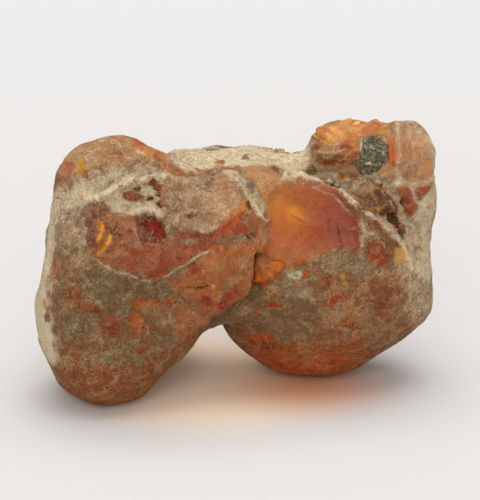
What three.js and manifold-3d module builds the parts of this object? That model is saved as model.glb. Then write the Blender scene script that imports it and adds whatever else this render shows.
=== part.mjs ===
// A raw piece of amber, as it comes out of the ground: two rounded lobes over an arched hollow, a
// knob and a broken hump on top with a flat saddle between them, and one round pit that still holds
// its plug of hardened grit.
//
// Millimetres, +Z up. The broken face looks towards -Y and the left lobe is at -X. The origin is
// at the middle of the piece's outline, on the surface that it rests on.
import * as THREE from "three";
import { mergeVertices } from "three/addons/utils/BufferGeometryUtils.js";
import Module from "manifold-3d";

// ---- Driving dimensions -------------------------------------------------------------------------

const WEAR = 0.35; // how much the two feet and the heel are worn flat where they meet the ground
const PIT_DIAMETER = 6.6; // the round pit in the hump
const PIT_DEPTH = 3.6; // half the pit's length, from its floor to its widest part
const PIT_SINK = 2; // how far the widest part of the pit lies under the surface
const PLUG_GAP = 0.3; // the air between the plug and the wall of its pit
const CELL = 1.8; // grid spacing of the skin, which sets the number of triangles
const UNEVENNESS = 0.45; // how far the skin swells and sinks
const BLEND = 3; // how widely two lumps flow into each other
const SETTLING_ROUNDS = 12; // times that the skin's points are spread out and drawn back to the surface

// ---- Shapes as fields: negative inside, positive outside, about a distance in millimetres --------

const at = (x, y, z) => new THREE.Vector3(x, y, z);

// An ellipsoid with half sizes radii, turned by tilt degrees about Y (positive lifts its +X end).
function lump(centre, radii, tilt = 0) {
  const turn = THREE.MathUtils.degToRad(tilt);
  const [cos, sin] = [Math.cos(turn), Math.sin(turn)];
  return (p) => {
    const [x, y, z] = [p.x - centre.x, p.y - centre.y, p.z - centre.z];
    const [u, v, w] = [(x * cos + z * sin) / radii.x, y / radii.y, (z * cos - x * sin) / radii.z];
    const far = Math.hypot(u, v, w);
    const steep = Math.hypot(u / radii.x, v / radii.y, w / radii.z);
    return steep > 1e-9 ? (far * (far - 1)) / steep : -Math.min(radii.x, radii.y, radii.z);
  };
}

// A limb with round ends that tapers from one radius to another.
function limb(start, end, startRadius, endRadius = startRadius) {
  const along = end.clone().sub(start);
  const near = new THREE.Vector3();
  return (p) => {
    const share = THREE.MathUtils.clamp(near.copy(p).sub(start).dot(along) / along.lengthSq(), 0, 1);
    const distance = near.copy(start).addScaledVector(along, share).distanceTo(p);
    return distance - THREE.MathUtils.lerp(startRadius, endRadius, share);
  };
}

// A block with rounded edges, half sizes half, turned by spin degrees about Z.
function block(centre, half, round, spin = 0) {
  const turn = THREE.MathUtils.degToRad(spin);
  const [cos, sin] = [Math.cos(turn), Math.sin(turn)];
  return (p) => {
    const [x, y] = [p.x - centre.x, p.y - centre.y];
    const out = [
      Math.abs(x * cos + y * sin) - half.x + round,
      Math.abs(y * cos - x * sin) - half.y + round,
      Math.abs(p.z - centre.z) - half.z + round,
    ];
    const beyond = Math.hypot(...out.map((d) => Math.max(d, 0)));
    return beyond + Math.min(Math.max(...out), 0) - round;
  };
}

const smoothMin = (a, b, width) => {
  const share = Math.max(width - Math.abs(a - b), 0) / width;
  return Math.min(a, b) - (share * share * width) / 4;
};

const join = (shapes, width) => (p) =>
  shapes.map((shape) => shape(p)).reduce((a, b) => smoothMin(a, b, width));
const cut = (body, tools, width) => (p) =>
  tools.reduce((depth, tool) => -smoothMin(-depth, tool(p), width), body(p));

// ---- The amber's form ----------------------------------------------------------------------------

const knob = at(-22.2, -3, 36);
const leftFoot = at(-21.7, -10.2, 9.6 - WEAR);
const leftLobe = join(
  [
    lump(at(-21.8, -5, 17), at(12, 14, 18)),
    limb(leftFoot, at(-8, -7, 20.5), 9.4, 8.6),
    limb(knob, at(-21.6, -5, 22), 7.4, 10.4),
    limb(at(-19.8, -3, 36), at(-6, -4, 30), 7.4, 7),
    limb(at(-20, -11.5, 26.5), at(-3, -9, 26.5), 6.3),
  ],
  BLEND,
);

const rightLobe = join(
  [
    lump(at(12.9, 4, 13 - WEAR), at(15.5, 12.5, 13)),
    lump(at(17.3, 3, 17.6), at(16.9, 13.6, 14), 5),
    limb(at(4, -2, 29), at(18, -2, 27), 8.6),
    limb(at(23.4, 4, 17), at(23.4, 6, 30), 9.6),
  ],
  BLEND,
);

const bridge = limb(at(-6, -3.4, 21), at(8, -3, 22), 9.6);
const rear = join(
  [lump(at(0, 8, 26.8), at(24, 14, 12)), lump(at(-16.6, 11, 14.3), at(10, 10.5, 14.6))],
  BLEND,
);
const hump = block(at(22.8, 6, 35), at(10.5, 7, 8.6), 4.6, 4);

const lumps = join([leftLobe, rightLobe, bridge, rear, hump], BLEND);

const gullyTop = at(19, -2, 36);
const gullyBend = at(26.5, -4, 30.5);
const gully = join(
  [
    limb(at(8, 3, 38.4), gullyTop, 2.2),
    limb(gullyTop, gullyBend, 2.2, 2.8),
    limb(gullyBend, at(36, -3, 23), 2.8),
  ],
  1,
);
const windowHollow = lump(at(17, -24, 34.5), at(14, 15, 11), -20);
const hollowBelowKnob = lump(at(-17, -17, 36), at(8, 6.5, 3.6), 12);
const brokenFaces = [
  lump(at(8, 36, 24), at(17, 16, 12), -8),
  lump(at(-42, 7, 30), at(10, 16, 12)),
  lump(at(46, 4, 22), at(13, 18, 10), 10),
  lump(at(23, 14, 56), at(14, 14, 12.6)),
];

// A slow swell over the whole surface, as hand smoothing would never leave it quite even.
const swell = (p) => UNEVENNESS * Math.sin(p.x * 0.52 + 1) * Math.sin(p.y * 0.6 + 2) * Math.sin(p.z * 0.47);

const carved = cut(lumps, [gully, windowHollow, hollowBelowKnob, ...brokenFaces], 2);
const form = (p) => carved(p) + swell(p);

// ---- From a field to a closed skin ---------------------------------------------------------------

// The direction in which the field grows fastest, and its value, at a point.
function slope(field, p, gradient) {
  const step = 0.05;
  const probe = p.clone();
  const here = field(p);
  for (const axis of ["x", "y", "z"]) {
    probe[axis] += step;
    gradient[axis] = (field(probe) - here) / step;
    probe[axis] = p[axis];
  }
  return here;
}

// Surface nets: one point in each grid cell that the surface passes through, and one square of four
// such points round each grid edge that it crosses.
function skin(field, box) {
  const size = box.getSize(new THREE.Vector3());
  const count = [size.x, size.y, size.z].map((side) => Math.ceil(side / CELL) + 1);
  const index = (i, j, k) => i + count[0] * (j + count[1] * k);
  const place = (i, j, k) => at(box.min.x + i * CELL, box.min.y + j * CELL, box.min.z + k * CELL);
  const eachCell = (visit) => {
    for (let k = 0; k < count[2]; k++)
      for (let j = 0; j < count[1]; j++) for (let i = 0; i < count[0]; i++) visit(i, j, k);
  };
  const value = new Float32Array(count[0] * count[1] * count[2]);
  eachCell((i, j, k) => (value[index(i, j, k)] = field(place(i, j, k))));

  const corners = [0, 1, 2, 3, 4, 5, 6, 7].map((bits) => [bits & 1, (bits >> 1) & 1, bits >> 2]);
  const points = [];
  const pointOf = new Map();
  eachCell((i, j, k) => {
    if (i + 1 >= count[0] || j + 1 >= count[1] || k + 1 >= count[2]) return;
    const inside = corners.filter(([a, b, c]) => value[index(i + a, j + b, k + c)] < 0);
    if (inside.length === 0 || inside.length === 8) return;
    pointOf.set(index(i, j, k), points.length);
    points.push(place(i + 0.5, j + 0.5, k + 0.5));
  });

  const triangles = [];
  const across = [[0, 1, 2], [1, 2, 0], [2, 0, 1]];
  eachCell((i, j, k) => {
    for (const [main, second, third] of across) {
      const cell = [i, j, k];
      if (cell[main] + 1 >= count[main] || cell[second] === 0 || cell[third] === 0) continue;
      const next = cell.map((n, axis) => n + (axis === main ? 1 : 0));
      const inside = value[index(...cell)] < 0;
      if (inside === value[index(...next)] < 0) continue;
      const ring = [[0, 0], [-1, 0], [-1, -1], [0, -1]].map(([b, c]) => {
        const corner = [...cell];
        corner[second] += b;
        corner[third] += c;
        return pointOf.get(index(...corner));
      });
      if (!inside) ring.reverse();
      triangles.push(ring[0], ring[1], ring[2], ring[0], ring[2], ring[3]);
    }
  });
  return { points, triangles };
}

// Spreads the skin's points evenly, and draws each back to the surface along the field's slope.
function settle({ points, triangles }, field) {
  const neighbours = points.map(() => new Set());
  for (let t = 0; t < triangles.length; t += 3)
    for (let side = 0; side < 3; side++) {
      const [a, b] = [triangles[t + side], triangles[t + ((side + 1) % 3)]];
      neighbours[a].add(b);
      neighbours[b].add(a);
    }
  const gradient = new THREE.Vector3();
  for (let round = 0; round < SETTLING_ROUNDS; round++) {
    const middles = points.map((_, n) => {
      const middle = new THREE.Vector3();
      neighbours[n].forEach((m) => middle.add(points[m]));
      return middle.divideScalar(neighbours[n].size);
    });
    points.forEach((p, n) => {
      p.lerp(middles[n], 0.5);
      const height = slope(field, p, gradient);
      p.addScaledVector(gradient, -height / Math.max(gradient.lengthSq(), 0.2));
    });
  }
}

function skinned(field, box) {
  const net = skin(field, box);
  settle(net, field);
  return new THREE.BufferGeometry().setFromPoints(net.points).setIndex(net.triangles);
}

// ---- Solids --------------------------------------------------------------------------------------

const wasm = await Module();
wasm.setup();

function solidOf(geometry) {
  const bare = geometry.clone();
  bare.deleteAttribute("normal");
  bare.deleteAttribute("uv");
  const merged = mergeVertices(bare, 1e-4);
  return new wasm.Manifold(
    new wasm.Mesh({
      numProp: 3,
      vertProperties: merged.attributes.position.array,
      triVerts: new Uint32Array(merged.index.array),
    }),
  );
}

function geometryOf(solid) {
  const mesh = solid.getMesh();
  const geometry = new THREE.BufferGeometry();
  geometry.setAttribute("position", new THREE.BufferAttribute(mesh.vertProperties, mesh.numProp));
  geometry.setIndex(new THREE.BufferAttribute(mesh.triVerts, 1));
  geometry.computeVertexNormals();
  return geometry;
}

// A ball pressed to three half sizes and looking along a direction.
function pebble(centre, radii, facing, detail) {
  const geometry = new THREE.IcosahedronGeometry(1, detail);
  geometry.scale(radii.x, radii.y, radii.z);
  const turn = new THREE.Quaternion().setFromUnitVectors(at(0, 0, 1), facing.clone().normalize());
  geometry.applyQuaternion(turn);
  geometry.translate(centre.x, centre.y, centre.z);
  return geometry;
}

const pitFacing = at(0.05, -0.9, 0.4).normalize();
const pitMiddle = at(22.8, -0.4, 40.3).addScaledVector(pitFacing, -PIT_SINK);
const pitRadius = PIT_DIAMETER / 2;
const plugRadius = pitRadius - PLUG_GAP;

const reach = new THREE.Box3(at(-40, -26, -6), at(40, 28, 50));
const ground = new THREE.BoxGeometry(120, 120, 20).translate(0, 0, -10);
const pit = pebble(pitMiddle, at(pitRadius, pitRadius, PIT_DEPTH), pitFacing, 4);
const filling = pebble(pitMiddle, at(plugRadius, plugRadius, PIT_DEPTH - PLUG_GAP), pitFacing, 4);

const whole = solidOf(skinned(form, reach)).subtract(solidOf(ground));
const amber = whole.subtract(solidOf(pit));
const plug = whole.intersect(solidOf(filling));

// ---- The finished piece --------------------------------------------------------------------------

const amberMaterial = new THREE.MeshStandardMaterial({ color: 0x9a6238, roughness: 0.62, metalness: 0 });
const gritMaterial = new THREE.MeshStandardMaterial({ color: 0x66594a, roughness: 0.95, metalness: 0 });

const piece = new THREE.Group();
const pieces = [
  ["amber", amber, amberMaterial],
  ["grit_plug", plug, gritMaterial],
];
for (const [name, solid, material] of pieces) {
  const mesh = new THREE.Mesh(geometryOf(solid), material);
  mesh.name = name;
  piece.add(mesh);
}
const outline = new THREE.Box3().setFromObject(piece);
const middle = outline.getCenter(new THREE.Vector3());
piece.children.forEach((mesh) => mesh.geometry.translate(-middle.x, -middle.y, -outline.min.z));

export default piece;
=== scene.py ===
# %% [markdown]
# # A raw lump of amber
# Amber is tree resin that hardened in the ground. A raw lump has three surfaces at once: a dull
# weathered skin, dirt that packed into every hollow, and smooth broken faces through which the clear
# resin glows. This lesson starts from a plain solid and adds the three, one after another.

# %%
# Load the frame
import math

import bpy
import bmesh
import numpy as np
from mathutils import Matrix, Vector


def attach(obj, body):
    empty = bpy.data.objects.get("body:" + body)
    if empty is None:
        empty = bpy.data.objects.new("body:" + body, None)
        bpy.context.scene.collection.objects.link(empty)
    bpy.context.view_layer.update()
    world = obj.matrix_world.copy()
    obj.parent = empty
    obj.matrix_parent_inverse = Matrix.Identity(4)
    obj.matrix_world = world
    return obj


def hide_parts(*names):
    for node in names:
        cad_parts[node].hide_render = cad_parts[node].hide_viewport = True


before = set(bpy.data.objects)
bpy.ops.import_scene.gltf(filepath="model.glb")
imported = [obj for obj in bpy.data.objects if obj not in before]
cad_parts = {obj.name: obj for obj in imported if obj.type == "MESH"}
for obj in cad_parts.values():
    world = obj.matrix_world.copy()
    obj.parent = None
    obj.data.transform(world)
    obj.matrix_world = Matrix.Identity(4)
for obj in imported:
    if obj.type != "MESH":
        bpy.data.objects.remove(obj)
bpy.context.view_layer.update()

MM = 0.001

# %% [markdown]
# ## Numbers that steer the lesson
# All the sizes are in millimetres. Blender counts in metres, so they are multiplied by MM only when
# they reach Blender.

# %%
# Sizes and colours
SKIN_SPACING = 0.54        # distance between neighbouring points of the lump's skin
PLUG_SPACING = 0.16        # the same for the grit plug
EYE_TILT = 18.0            # degrees that the eye looks down on the front
EYE_DISTANCE = 400.0       # from the eye to the middle of the lump
MIDDLE = (0.5, 0.0, 23.0)  # the point that the eye looks at
PICTURE_WIDTH = 81.6       # how much the camera takes in, at the middle of the lump
HIDING_CELL = 0.7          # width of the cells that a chart uses to tell what hides what
HIDING_DEPTH = 3.0         # how much further off than the nearest point a point may lie and still show
OLD_BREAK = 0.55           # how strongly the old breaks are chipped, next to 1 for the freshest
SMALL_CHIPS, LARGE_CHIPS = 2.6, 5.5  # widths of the chips on the front and on the other sides
SEED = 11


def colour(text):
    """Turns a web colour such as "c8b48c" into the linear red, green and blue that Blender uses."""
    parts = [int(text[n:n + 2], 16) / 255 for n in (0, 2, 4)]
    return np.array([p / 12.92 if p <= 0.04045 else ((p + 0.055) / 1.055) ** 2.4 for p in parts])


def rgba(text):
    return (*colour(text), 1.0)


print("web colour c8b48c is", [round(float(part), 2) for part in colour("c8b48c")], "to Blender")

# %% [markdown]
# ## Noise
# Nothing in nature is even, so nearly every number below is stirred by noise. Blender has noise
# textures, but here the noise has to move the points of a mesh, so it is worked out with numpy: a box
# of random numbers, blended smoothly between its corners.

# %%
# Smooth noise
LATTICE = 32
lattice_values = np.random.default_rng(SEED).uniform(-1, 1, (LATTICE,) * 3)
lattice_seeds = np.random.default_rng(SEED + 1).uniform(0, 1, (LATTICE, LATTICE, LATTICE, 6))


def noise(points, size, shift=0.0):
    """Smooth noise from -1 to 1 with bumps about size millimetres wide."""
    place = points / size + 7.3 + 5.1 * shift
    corner = np.floor(place).astype(int)
    share = place - corner
    share = share * share * (3 - 2 * share)
    total = np.zeros(len(points))
    for step in np.ndindex(2, 2, 2):
        weight = np.prod(np.where(step, share, 1 - share), axis=1)
        index = (corner + step) % LATTICE
        total += weight * lattice_values[index[:, 0], index[:, 1], index[:, 2]]
    return total * 1.6


def rough_noise(points, size, shift=0.0, octaves=4):
    """Noise with finer and finer noise on top of it, as on a weathered surface."""
    total = sum(noise(points, size / 2 ** n, shift + 3 * n) / 2 ** n for n in range(octaves))
    return total / (2 - 0.5 ** (octaves - 1))


def ease(low, high, value):
    """0 below low, 1 above high and a smooth slope between."""
    share = np.clip((value - low) / (high - low), 0, 1)
    return share * share * (3 - 2 * share)


print("the noise repeats after", LATTICE, "bumps")


# %% [markdown]
# Cells are the other kind of unevenness: space falls apart into grains, chips or plates, each round a
# seed of its own. Mud cracks, crackled glaze and the shell-shaped chips of broken resin all look so.

# %%
# Cell noise


def cells(points, size, shift=0.0):
    """For each point: the distance to its cell's seed, how much further off the next seed is, the way
    from the seed to the point, and three random numbers that the whole cell shares."""
    place = points / size + 9.7 + 3.7 * shift
    home = np.floor(place).astype(int)
    nearest = np.full(len(points), 9.0)
    second = nearest.copy()
    way = np.zeros_like(points)
    luck = np.zeros_like(points)
    for step in np.ndindex(3, 3, 3):
        cell = home + np.array(step) - 1
        index = cell % LATTICE
        seed = lattice_seeds[index[:, 0], index[:, 1], index[:, 2]]
        offset = place - cell - seed[:, :3]
        distance = np.linalg.norm(offset, axis=1)
        closer = distance < nearest
        second = np.where(closer, nearest, np.minimum(second, distance))
        nearest = np.where(closer, distance, nearest)
        way[closer] = offset[closer]
        luck[closer] = seed[closer, 3:]
    return nearest * size, (second - nearest) * size, way * size, luck


print("the middle of the lump lies", round(float(cells(np.array([MIDDLE]), 2.0)[0][0]), 2), "mm from a seed")


# %% [markdown]
# ## A finer skin
# The plain solid is made of flat triangles nearly two millimetres wide. A voxel remesh wraps it in a
# fresh and even grid of small squares, and a few rounds of smoothing melt the old flat triangles away.
# The broken front carries the finest detail, so its squares are split once more.

# %%
# Fine copies of the solids


def fine_copy(node, name, spacing, rounds):
    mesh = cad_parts[node].data.copy()
    work = bmesh.new()
    work.from_mesh(mesh)
    bmesh.ops.remove_doubles(work, verts=work.verts, dist=0.002 * MM)
    work.to_mesh(mesh)
    work.free()
    piece = bpy.data.objects.new(name, mesh)
    bpy.context.scene.collection.objects.link(piece)
    remesh = piece.modifiers.new("even grid", "REMESH")
    remesh.mode = "VOXEL"
    remesh.voxel_size = spacing * MM
    smooth = piece.modifiers.new("melt facets", "SMOOTH")
    smooth.factor = 0.5
    smooth.iterations = rounds
    ready = piece.evaluated_get(bpy.context.evaluated_depsgraph_get())
    fine = bpy.data.meshes.new_from_object(ready)
    piece.modifiers.clear()
    piece.data = fine
    fine.materials.clear()
    return piece


def split_squares(piece, wanted):
    """Splits in four each square that wanted(place in mm, normal) picks."""
    work = bmesh.new()
    work.from_mesh(piece.data)
    chosen = [face for face in work.faces if wanted(face.calc_center_median() / MM, face.normal)]
    edges = list(dict.fromkeys(edge for face in chosen for edge in face.edges))
    bmesh.ops.subdivide_edges(work, edges=edges, cuts=1, use_grid_fill=True)
    work.to_mesh(piece.data)
    work.free()


amber = fine_copy("amber", "amber_skin", SKIN_SPACING, 7)
split_squares(amber, lambda place, normal: place.z > 10 and normal.y < (-0.15 if place.z < 33 else 0.25))
amber.data.shade_smooth()
amber.data.calc_loop_triangles()
print("the lump's skin has", len(amber.data.vertices), "points and", len(amber.data.loop_triangles),
      "triangles")

# %% [markdown]
# The relief is worked out for all points at once, so they are held in one numpy table, together with
# the edges that say which points are neighbours.

# %%
# The skin's points


class Skin:
    """The points of a mesh in millimetres, and which of them are neighbours."""

    def __init__(self, piece):
        self.piece = piece
        mesh = piece.data
        flat = np.empty(len(mesh.vertices) * 3, np.float32)
        mesh.vertices.foreach_get("co", flat)
        self.points = flat.reshape(-1, 3).astype(float) / MM
        edges = np.empty(len(mesh.edges) * 2, np.int32)
        mesh.edges.foreach_get("vertices", edges)
        self.edges = edges.reshape(-1, 2)
        self.degree = np.bincount(self.edges.ravel(), minlength=len(self.points)).astype(float)

    def write(self):
        self.piece.data.vertices.foreach_set("co", (self.points * MM).astype(np.float32).ravel())
        self.piece.data.update()

    def normals(self):
        self.write()
        flat = np.empty(len(self.points) * 3, np.float32)
        self.piece.data.vertex_normals.foreach_get("vector", flat)
        return flat.reshape(-1, 3).astype(float)

    def spread(self, values, rounds):
        """Evens values out between neighbouring points."""
        if values.ndim > 1:
            return np.column_stack([self.spread(column, rounds) for column in values.T])
        a, b = self.edges.T
        for _ in range(rounds):
            total = np.bincount(a, values[b], len(values)) + np.bincount(b, values[a], len(values))
            values = 0.5 * values + 0.5 * total / self.degree
        return values

    def raise_by(self, amount):
        self.points += self.normals() * amount[:, None]


skin = Skin(amber)
skin.points = skin.spread(skin.points, 2)
print("each point has", round(skin.degree.mean(), 1), "neighbours")

# %% [markdown]
# ## Charts
# It is hard to say where a crack is in three dimensions, and easy to say where it is on a drawing of
# one side. A chart is such a drawing: it flattens the side that an eye at a given compass direction
# sees, in millimetres right (u) and up (v) of the middle, and knows which points are really in view.

# %%
# The chart class


class Chart:
    def __init__(self, azimuth, tilt):
        turn, lean = math.radians(azimuth), math.radians(tilt)
        out = (math.sin(turn) * math.cos(lean), -math.cos(turn) * math.cos(lean), math.sin(lean))
        self.ahead = -np.array(out)
        self.right = np.array([math.cos(turn), math.sin(turn), 0.0])
        self.up = np.cross(self.right, self.ahead)
        self.eye = np.array(MIDDLE) - EYE_DISTANCE * self.ahead
        self.look()

    def look(self):
        """Finds each point's place on the drawing, and fades out what is turned away or hidden."""
        way = skin.points - self.eye
        self.depth = way @ self.ahead
        self.place = np.column_stack([way @ self.right, way @ self.up]) * (EYE_DISTANCE / self.depth)[:, None]
        facing = -(skin.normals() * way).sum(1) / np.linalg.norm(way, axis=1)
        cell = np.floor(self.place / HIDING_CELL).astype(int)
        cell -= cell.min(0)
        rows = cell[:, 1].max() + 1
        index = cell[:, 0] * rows + cell[:, 1]
        nearest = np.full(index.max() + 1, np.inf)
        np.minimum.at(nearest, index, self.depth)
        shown = (self.depth < nearest[index] + HIDING_DEPTH) & (facing > -0.05)
        self.shown = skin.spread(shown.astype(float), 2) * ease(-0.05, 0.2, facing)
        self.seen = np.flatnonzero(self.shown > 0)
        points = skin.points[self.seen]
        stir = [0.6 * noise(points, 2.1, k) + 0.4 * noise(points, 0.8, k + 5) for k in (1, 2)]
        self.stir = np.column_stack(stir)

    def ragged_place(self, ragged):
        return self.place[self.seen] + ragged * self.stir

    def whole(self, values):
        """Gives the points in view their values and all the others 0."""
        result = np.zeros(len(skin.points))
        result[self.seen] = values * self.shown[self.seen]
        return result

    @staticmethod
    def reach(p, a, b):
        """How far the points p lie from the straight line between a and b."""
        along = b - a
        share = np.clip((p - a) @ along / max(along @ along, 1e-9), 0, 1)
        return np.linalg.norm(p - a - share[:, None] * along, axis=1)

    def area(self, outline, soft=0.3, ragged=0.5):
        """1 inside a closed outline, 0 outside."""
        p = self.ragged_place(ragged)
        corners = np.array(outline, float)
        inside = np.zeros(len(p), bool)
        distance = np.full(len(p), 1e9)
        for a, b in zip(corners, np.roll(corners, -1, axis=0)):
            distance = np.minimum(distance, self.reach(p, a, b))
            crosses = (a[1] > p[:, 1]) != (b[1] > p[:, 1])
            rise = b[1] - a[1] if b[1] != a[1] else 1e-9
            inside ^= crosses & (p[:, 0] < (b[0] - a[0]) * (p[:, 1] - a[1]) / rise + a[0])
        return self.whole(ease(-soft, soft, np.where(inside, distance, -distance)))

    def from_line(self, knots, ragged):
        """How far the points in view lie from a line through the knots."""
        p = self.ragged_place(ragged)
        knots = np.array(knots, float)
        return np.min([self.reach(p, a, b) for a, b in zip(knots, knots[1:])], axis=0)

    def line(self, knots, width, ragged=0.25):
        """1 on a line through the knots, falling to 0 on both sides."""
        return self.whole(np.exp(-((self.from_line(knots, ragged) / width) ** 2) * 1.4))

    def crest(self, knots, width, ragged=0.2):
        """Like a line, but with a sharp top and straight slopes."""
        return self.whole(np.clip(1 - self.from_line(knots, ragged) / width, 0, 1))

    def spot(self, centre, radii, turn=0.0, soft=0.35, ragged=0.4):
        """1 inside an oval whose long side is turned by turn degrees."""
        cosine, sine = math.cos(math.radians(turn)), math.sin(math.radians(turn))
        right, up = (self.ragged_place(ragged) - centre).T
        along, across = (right * cosine + up * sine) / radii[0], (up * cosine - right * sine) / radii[1]
        return self.whole(ease(1 + soft, 1 - soft, np.hypot(along, across)))


front = Chart(0, EYE_TILT)
print("the front chart shows", int((front.shown > 0.5).sum()), "points")

# %% [markdown]
# ## Relief and paint together
# Every feature of the lump has a shape and a colour with the same outline. So one call lays both: it
# adds to the relief, how far each point will be raised, and brushes the paint layers. There are four
# layers: the tint of the resin, how much dust lies on it, how pale that dust is, and how glassy the
# surface is. Keeping them apart lets the material decide how each grain of dust covers the resin.

# %%
# Paint layers
relief = np.zeros(len(skin.points))
paint = {
    "tint": np.tile(colour("94603c"), (len(skin.points), 1)),
    "dust": np.full(len(skin.points), 0.45),
    "pale": np.full(len(skin.points), 0.35),
    "glass": np.zeros(len(skin.points)),
}


def lay(mask, lift=0.0, strength=1.0, **layers):
    """Raises the skin by lift millimetres, and blends each named layer towards a value, by the mask."""
    relief[:] += lift * mask
    share = np.clip(mask * strength, 0, 1)
    for name, value in layers.items():
        if name == "tint":
            paint[name] += share[:, None] * (colour(value) - paint[name])
        else:
            paint[name] += share * (value - paint[name])


def resin(tint, dust=0.0, glass=0.2, **more):
    """Bare resin of one colour."""
    return dict(tint=tint, dust=dust, glass=glass, **more)


def dirt(pale, dust=0.9, **more):
    """Packed dirt, from khaki mud at 0 to cream dust at 1."""
    return dict(pale=pale, dust=dust, glass=0.0, **more)


def tell(feature):
    """Prints what a feature did to the skin."""
    low, high = round(float(relief.min()), 1), round(float(relief.max()), 1)
    print(f"{feature}: dust on {paint['dust'].mean():.3f} of the skin, relief from {low} to {high} mm")


def lay_areas(chart, *rows):
    for outline, soft, ragged, layers in rows:
        lay(chart.area(outline, soft, ragged), **layers)


def lay_lines(chart, *rows):
    for knots, width, layers in rows:
        lay(chart.line(knots, width), **layers)


def lay_crests(chart, *rows):
    for knots, width, layers in rows:
        lay(chart.crest(knots, width), **layers)


def lay_spots(chart, *rows):
    for centre, radii, turn, layers in rows:
        lay(chart.spot(centre, radii, turn), **layers)


tell("bare skin")

# %% [markdown]
# ## The big flat breaks
# The window and the plate beside it broke off flat. Their points are pressed towards a plane first,
# because everything else lies on top of them. Then the resin round the grit plug is drawn in over its
# rim, and the fragment and the splinter are pulled forward along the eye's line.

# %%
# Press the breaks flat
WINDOW = [(5.4, 9.4), (7.4, 11.4), (10.4, 11.8), (13, 11.3), (15, 10.9), (16.6, 9.9), (18.2, 8.3),
          (19.6, 6.6), (20.1, 4.2), (20, 0.4), (16, -0.4), (13, -0.8), (11, -2.2), (8, -2.8), (6, -2),
          (5, 0), (4.6, 3), (4.8, 6)]
PLATE = [(-25.6, 3), (-23, 5.5), (-18, 5.8), (-12, 2), (-9, 3), (-3, 3.6), (1, 6.6), (4, 5.4), (4.6, 0),
         (2.6, -1), (2.4, -6), (0.6, -8.6), (-3, -10.6), (-6, -12), (-10, -8), (-13, -5.2), (-18, -4.7),
         (-22, -3.3), (-25.2, -1)]
RED_WINDOW = [(-17.6, 5.2), (-17.2, 6), (-14.8, 6.1), (-13.4, 5), (-12.6, 3), (-11.9, 1.5), (-13.2, 0.9),
              (-15.6, 1.2), (-16.8, 1.4), (-17.4, 2.8)]


def press_flat(chart, mask, bow, strength=0.8, outward=9.0):
    """Moves the masked points along the eye's line towards a plane fitted to them, with a slight bow,
    but never further outwards than the given millimetres."""
    inside = mask > 0.3
    uv = chart.place - chart.place[inside].mean(0)
    table = np.column_stack([uv, np.ones(len(uv))])
    fit, *_ = np.linalg.lstsq(table[inside], chart.depth[inside], rcond=None)
    reach = np.hypot(*uv[inside].std(0)) * 2
    wanted = table @ fit + bow * (1 - (uv ** 2).sum(1) / reach ** 2)
    move = np.maximum(wanted - chart.depth, -outward) * mask * strength
    skin.points += move[:, None] * chart.ahead
    print("pressed by up to", round(float(np.abs(move).max()), 2), "mm")


press_flat(front, front.area(WINDOW, soft=1.0, ragged=0.2), bow=0.5, strength=0.75)
press_flat(front, front.area(PLATE, soft=1.2, ragged=0.3), bow=-0.3, strength=0.35)
press_flat(front, front.area(RED_WINDOW, soft=0.6, ragged=0.2), bow=0.1)

PLUG_MIDDLE = (22.7, 16.2)
towards = PLUG_MIDDLE - front.place
towards /= np.linalg.norm(towards, axis=1)[:, None]
overlap = front.spot(PLUG_MIDDLE, (4.4, 4.7), soft=0.3) * (0.55 + 0.3 * noise(skin.points, 1.2, 21))
skin.points += overlap[:, None] * (towards[:, :1] * front.right + towards[:, 1:] * front.up)

FRAGMENT = [(19.3, 9.8), (20.4, 11.5), (22.1, 12), (24.2, 11), (26.1, 8.9), (27.4, 7.2), (27, 5.7),
            (25.5, 5.3), (23.8, 5.9), (22.1, 6.4), (20.4, 7.6), (19.3, 8.7)]
SPLINTER = [(26, 3.9), (27, 4.9), (28.2, 4.4), (28.9, 3), (28.4, 2.6), (27, 3.2)]
for outline, soft, step in ((FRAGMENT, 0.4, 0.5), (FRAGMENT, 1.5, 0.4), (SPLINTER, 0.5, 0.8)):
    skin.points -= (step * front.area(outline, soft=soft, ragged=0.2))[:, None] * front.ahead

# %% [markdown]
# The outline comes from points that face sideways, and half of them are turned away. So these shifts
# move everything near a place on the drawing, whether it is in view or not.

# %%
# Shift the outline
OUTLINE_SHIFTS = [((-32.5, 12), (6, 9), (-0.8, 0.1)), ((-36, -2.6), (6, 6), (1.0, 0.0)),
                  ((-34, -14), (6, 6), (-0.7, 0.0)), ((34, 8), (5, 4), (0.6, 0.0)),
                  ((35, -6.4), (5, 4), (-0.8, 0.0)), ((32, -13), (5, 5), (0.6, -0.3)),
                  ((-3.4, -14), (5, 4), (-0.9, 0.3)), ((-36, -2.6), (4, 3), (-0.4, 0.0))]
for middle, radii, (aside, upward) in OUTLINE_SHIFTS:
    share = ease(1.2, 0.2, np.hypot(*((front.place - middle) / radii).T))
    skin.points += share[:, None] * (aside * front.right + upward * front.up)
front.look()
print("the outline was shifted at", len(OUTLINE_SHIFTS), "places")
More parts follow.
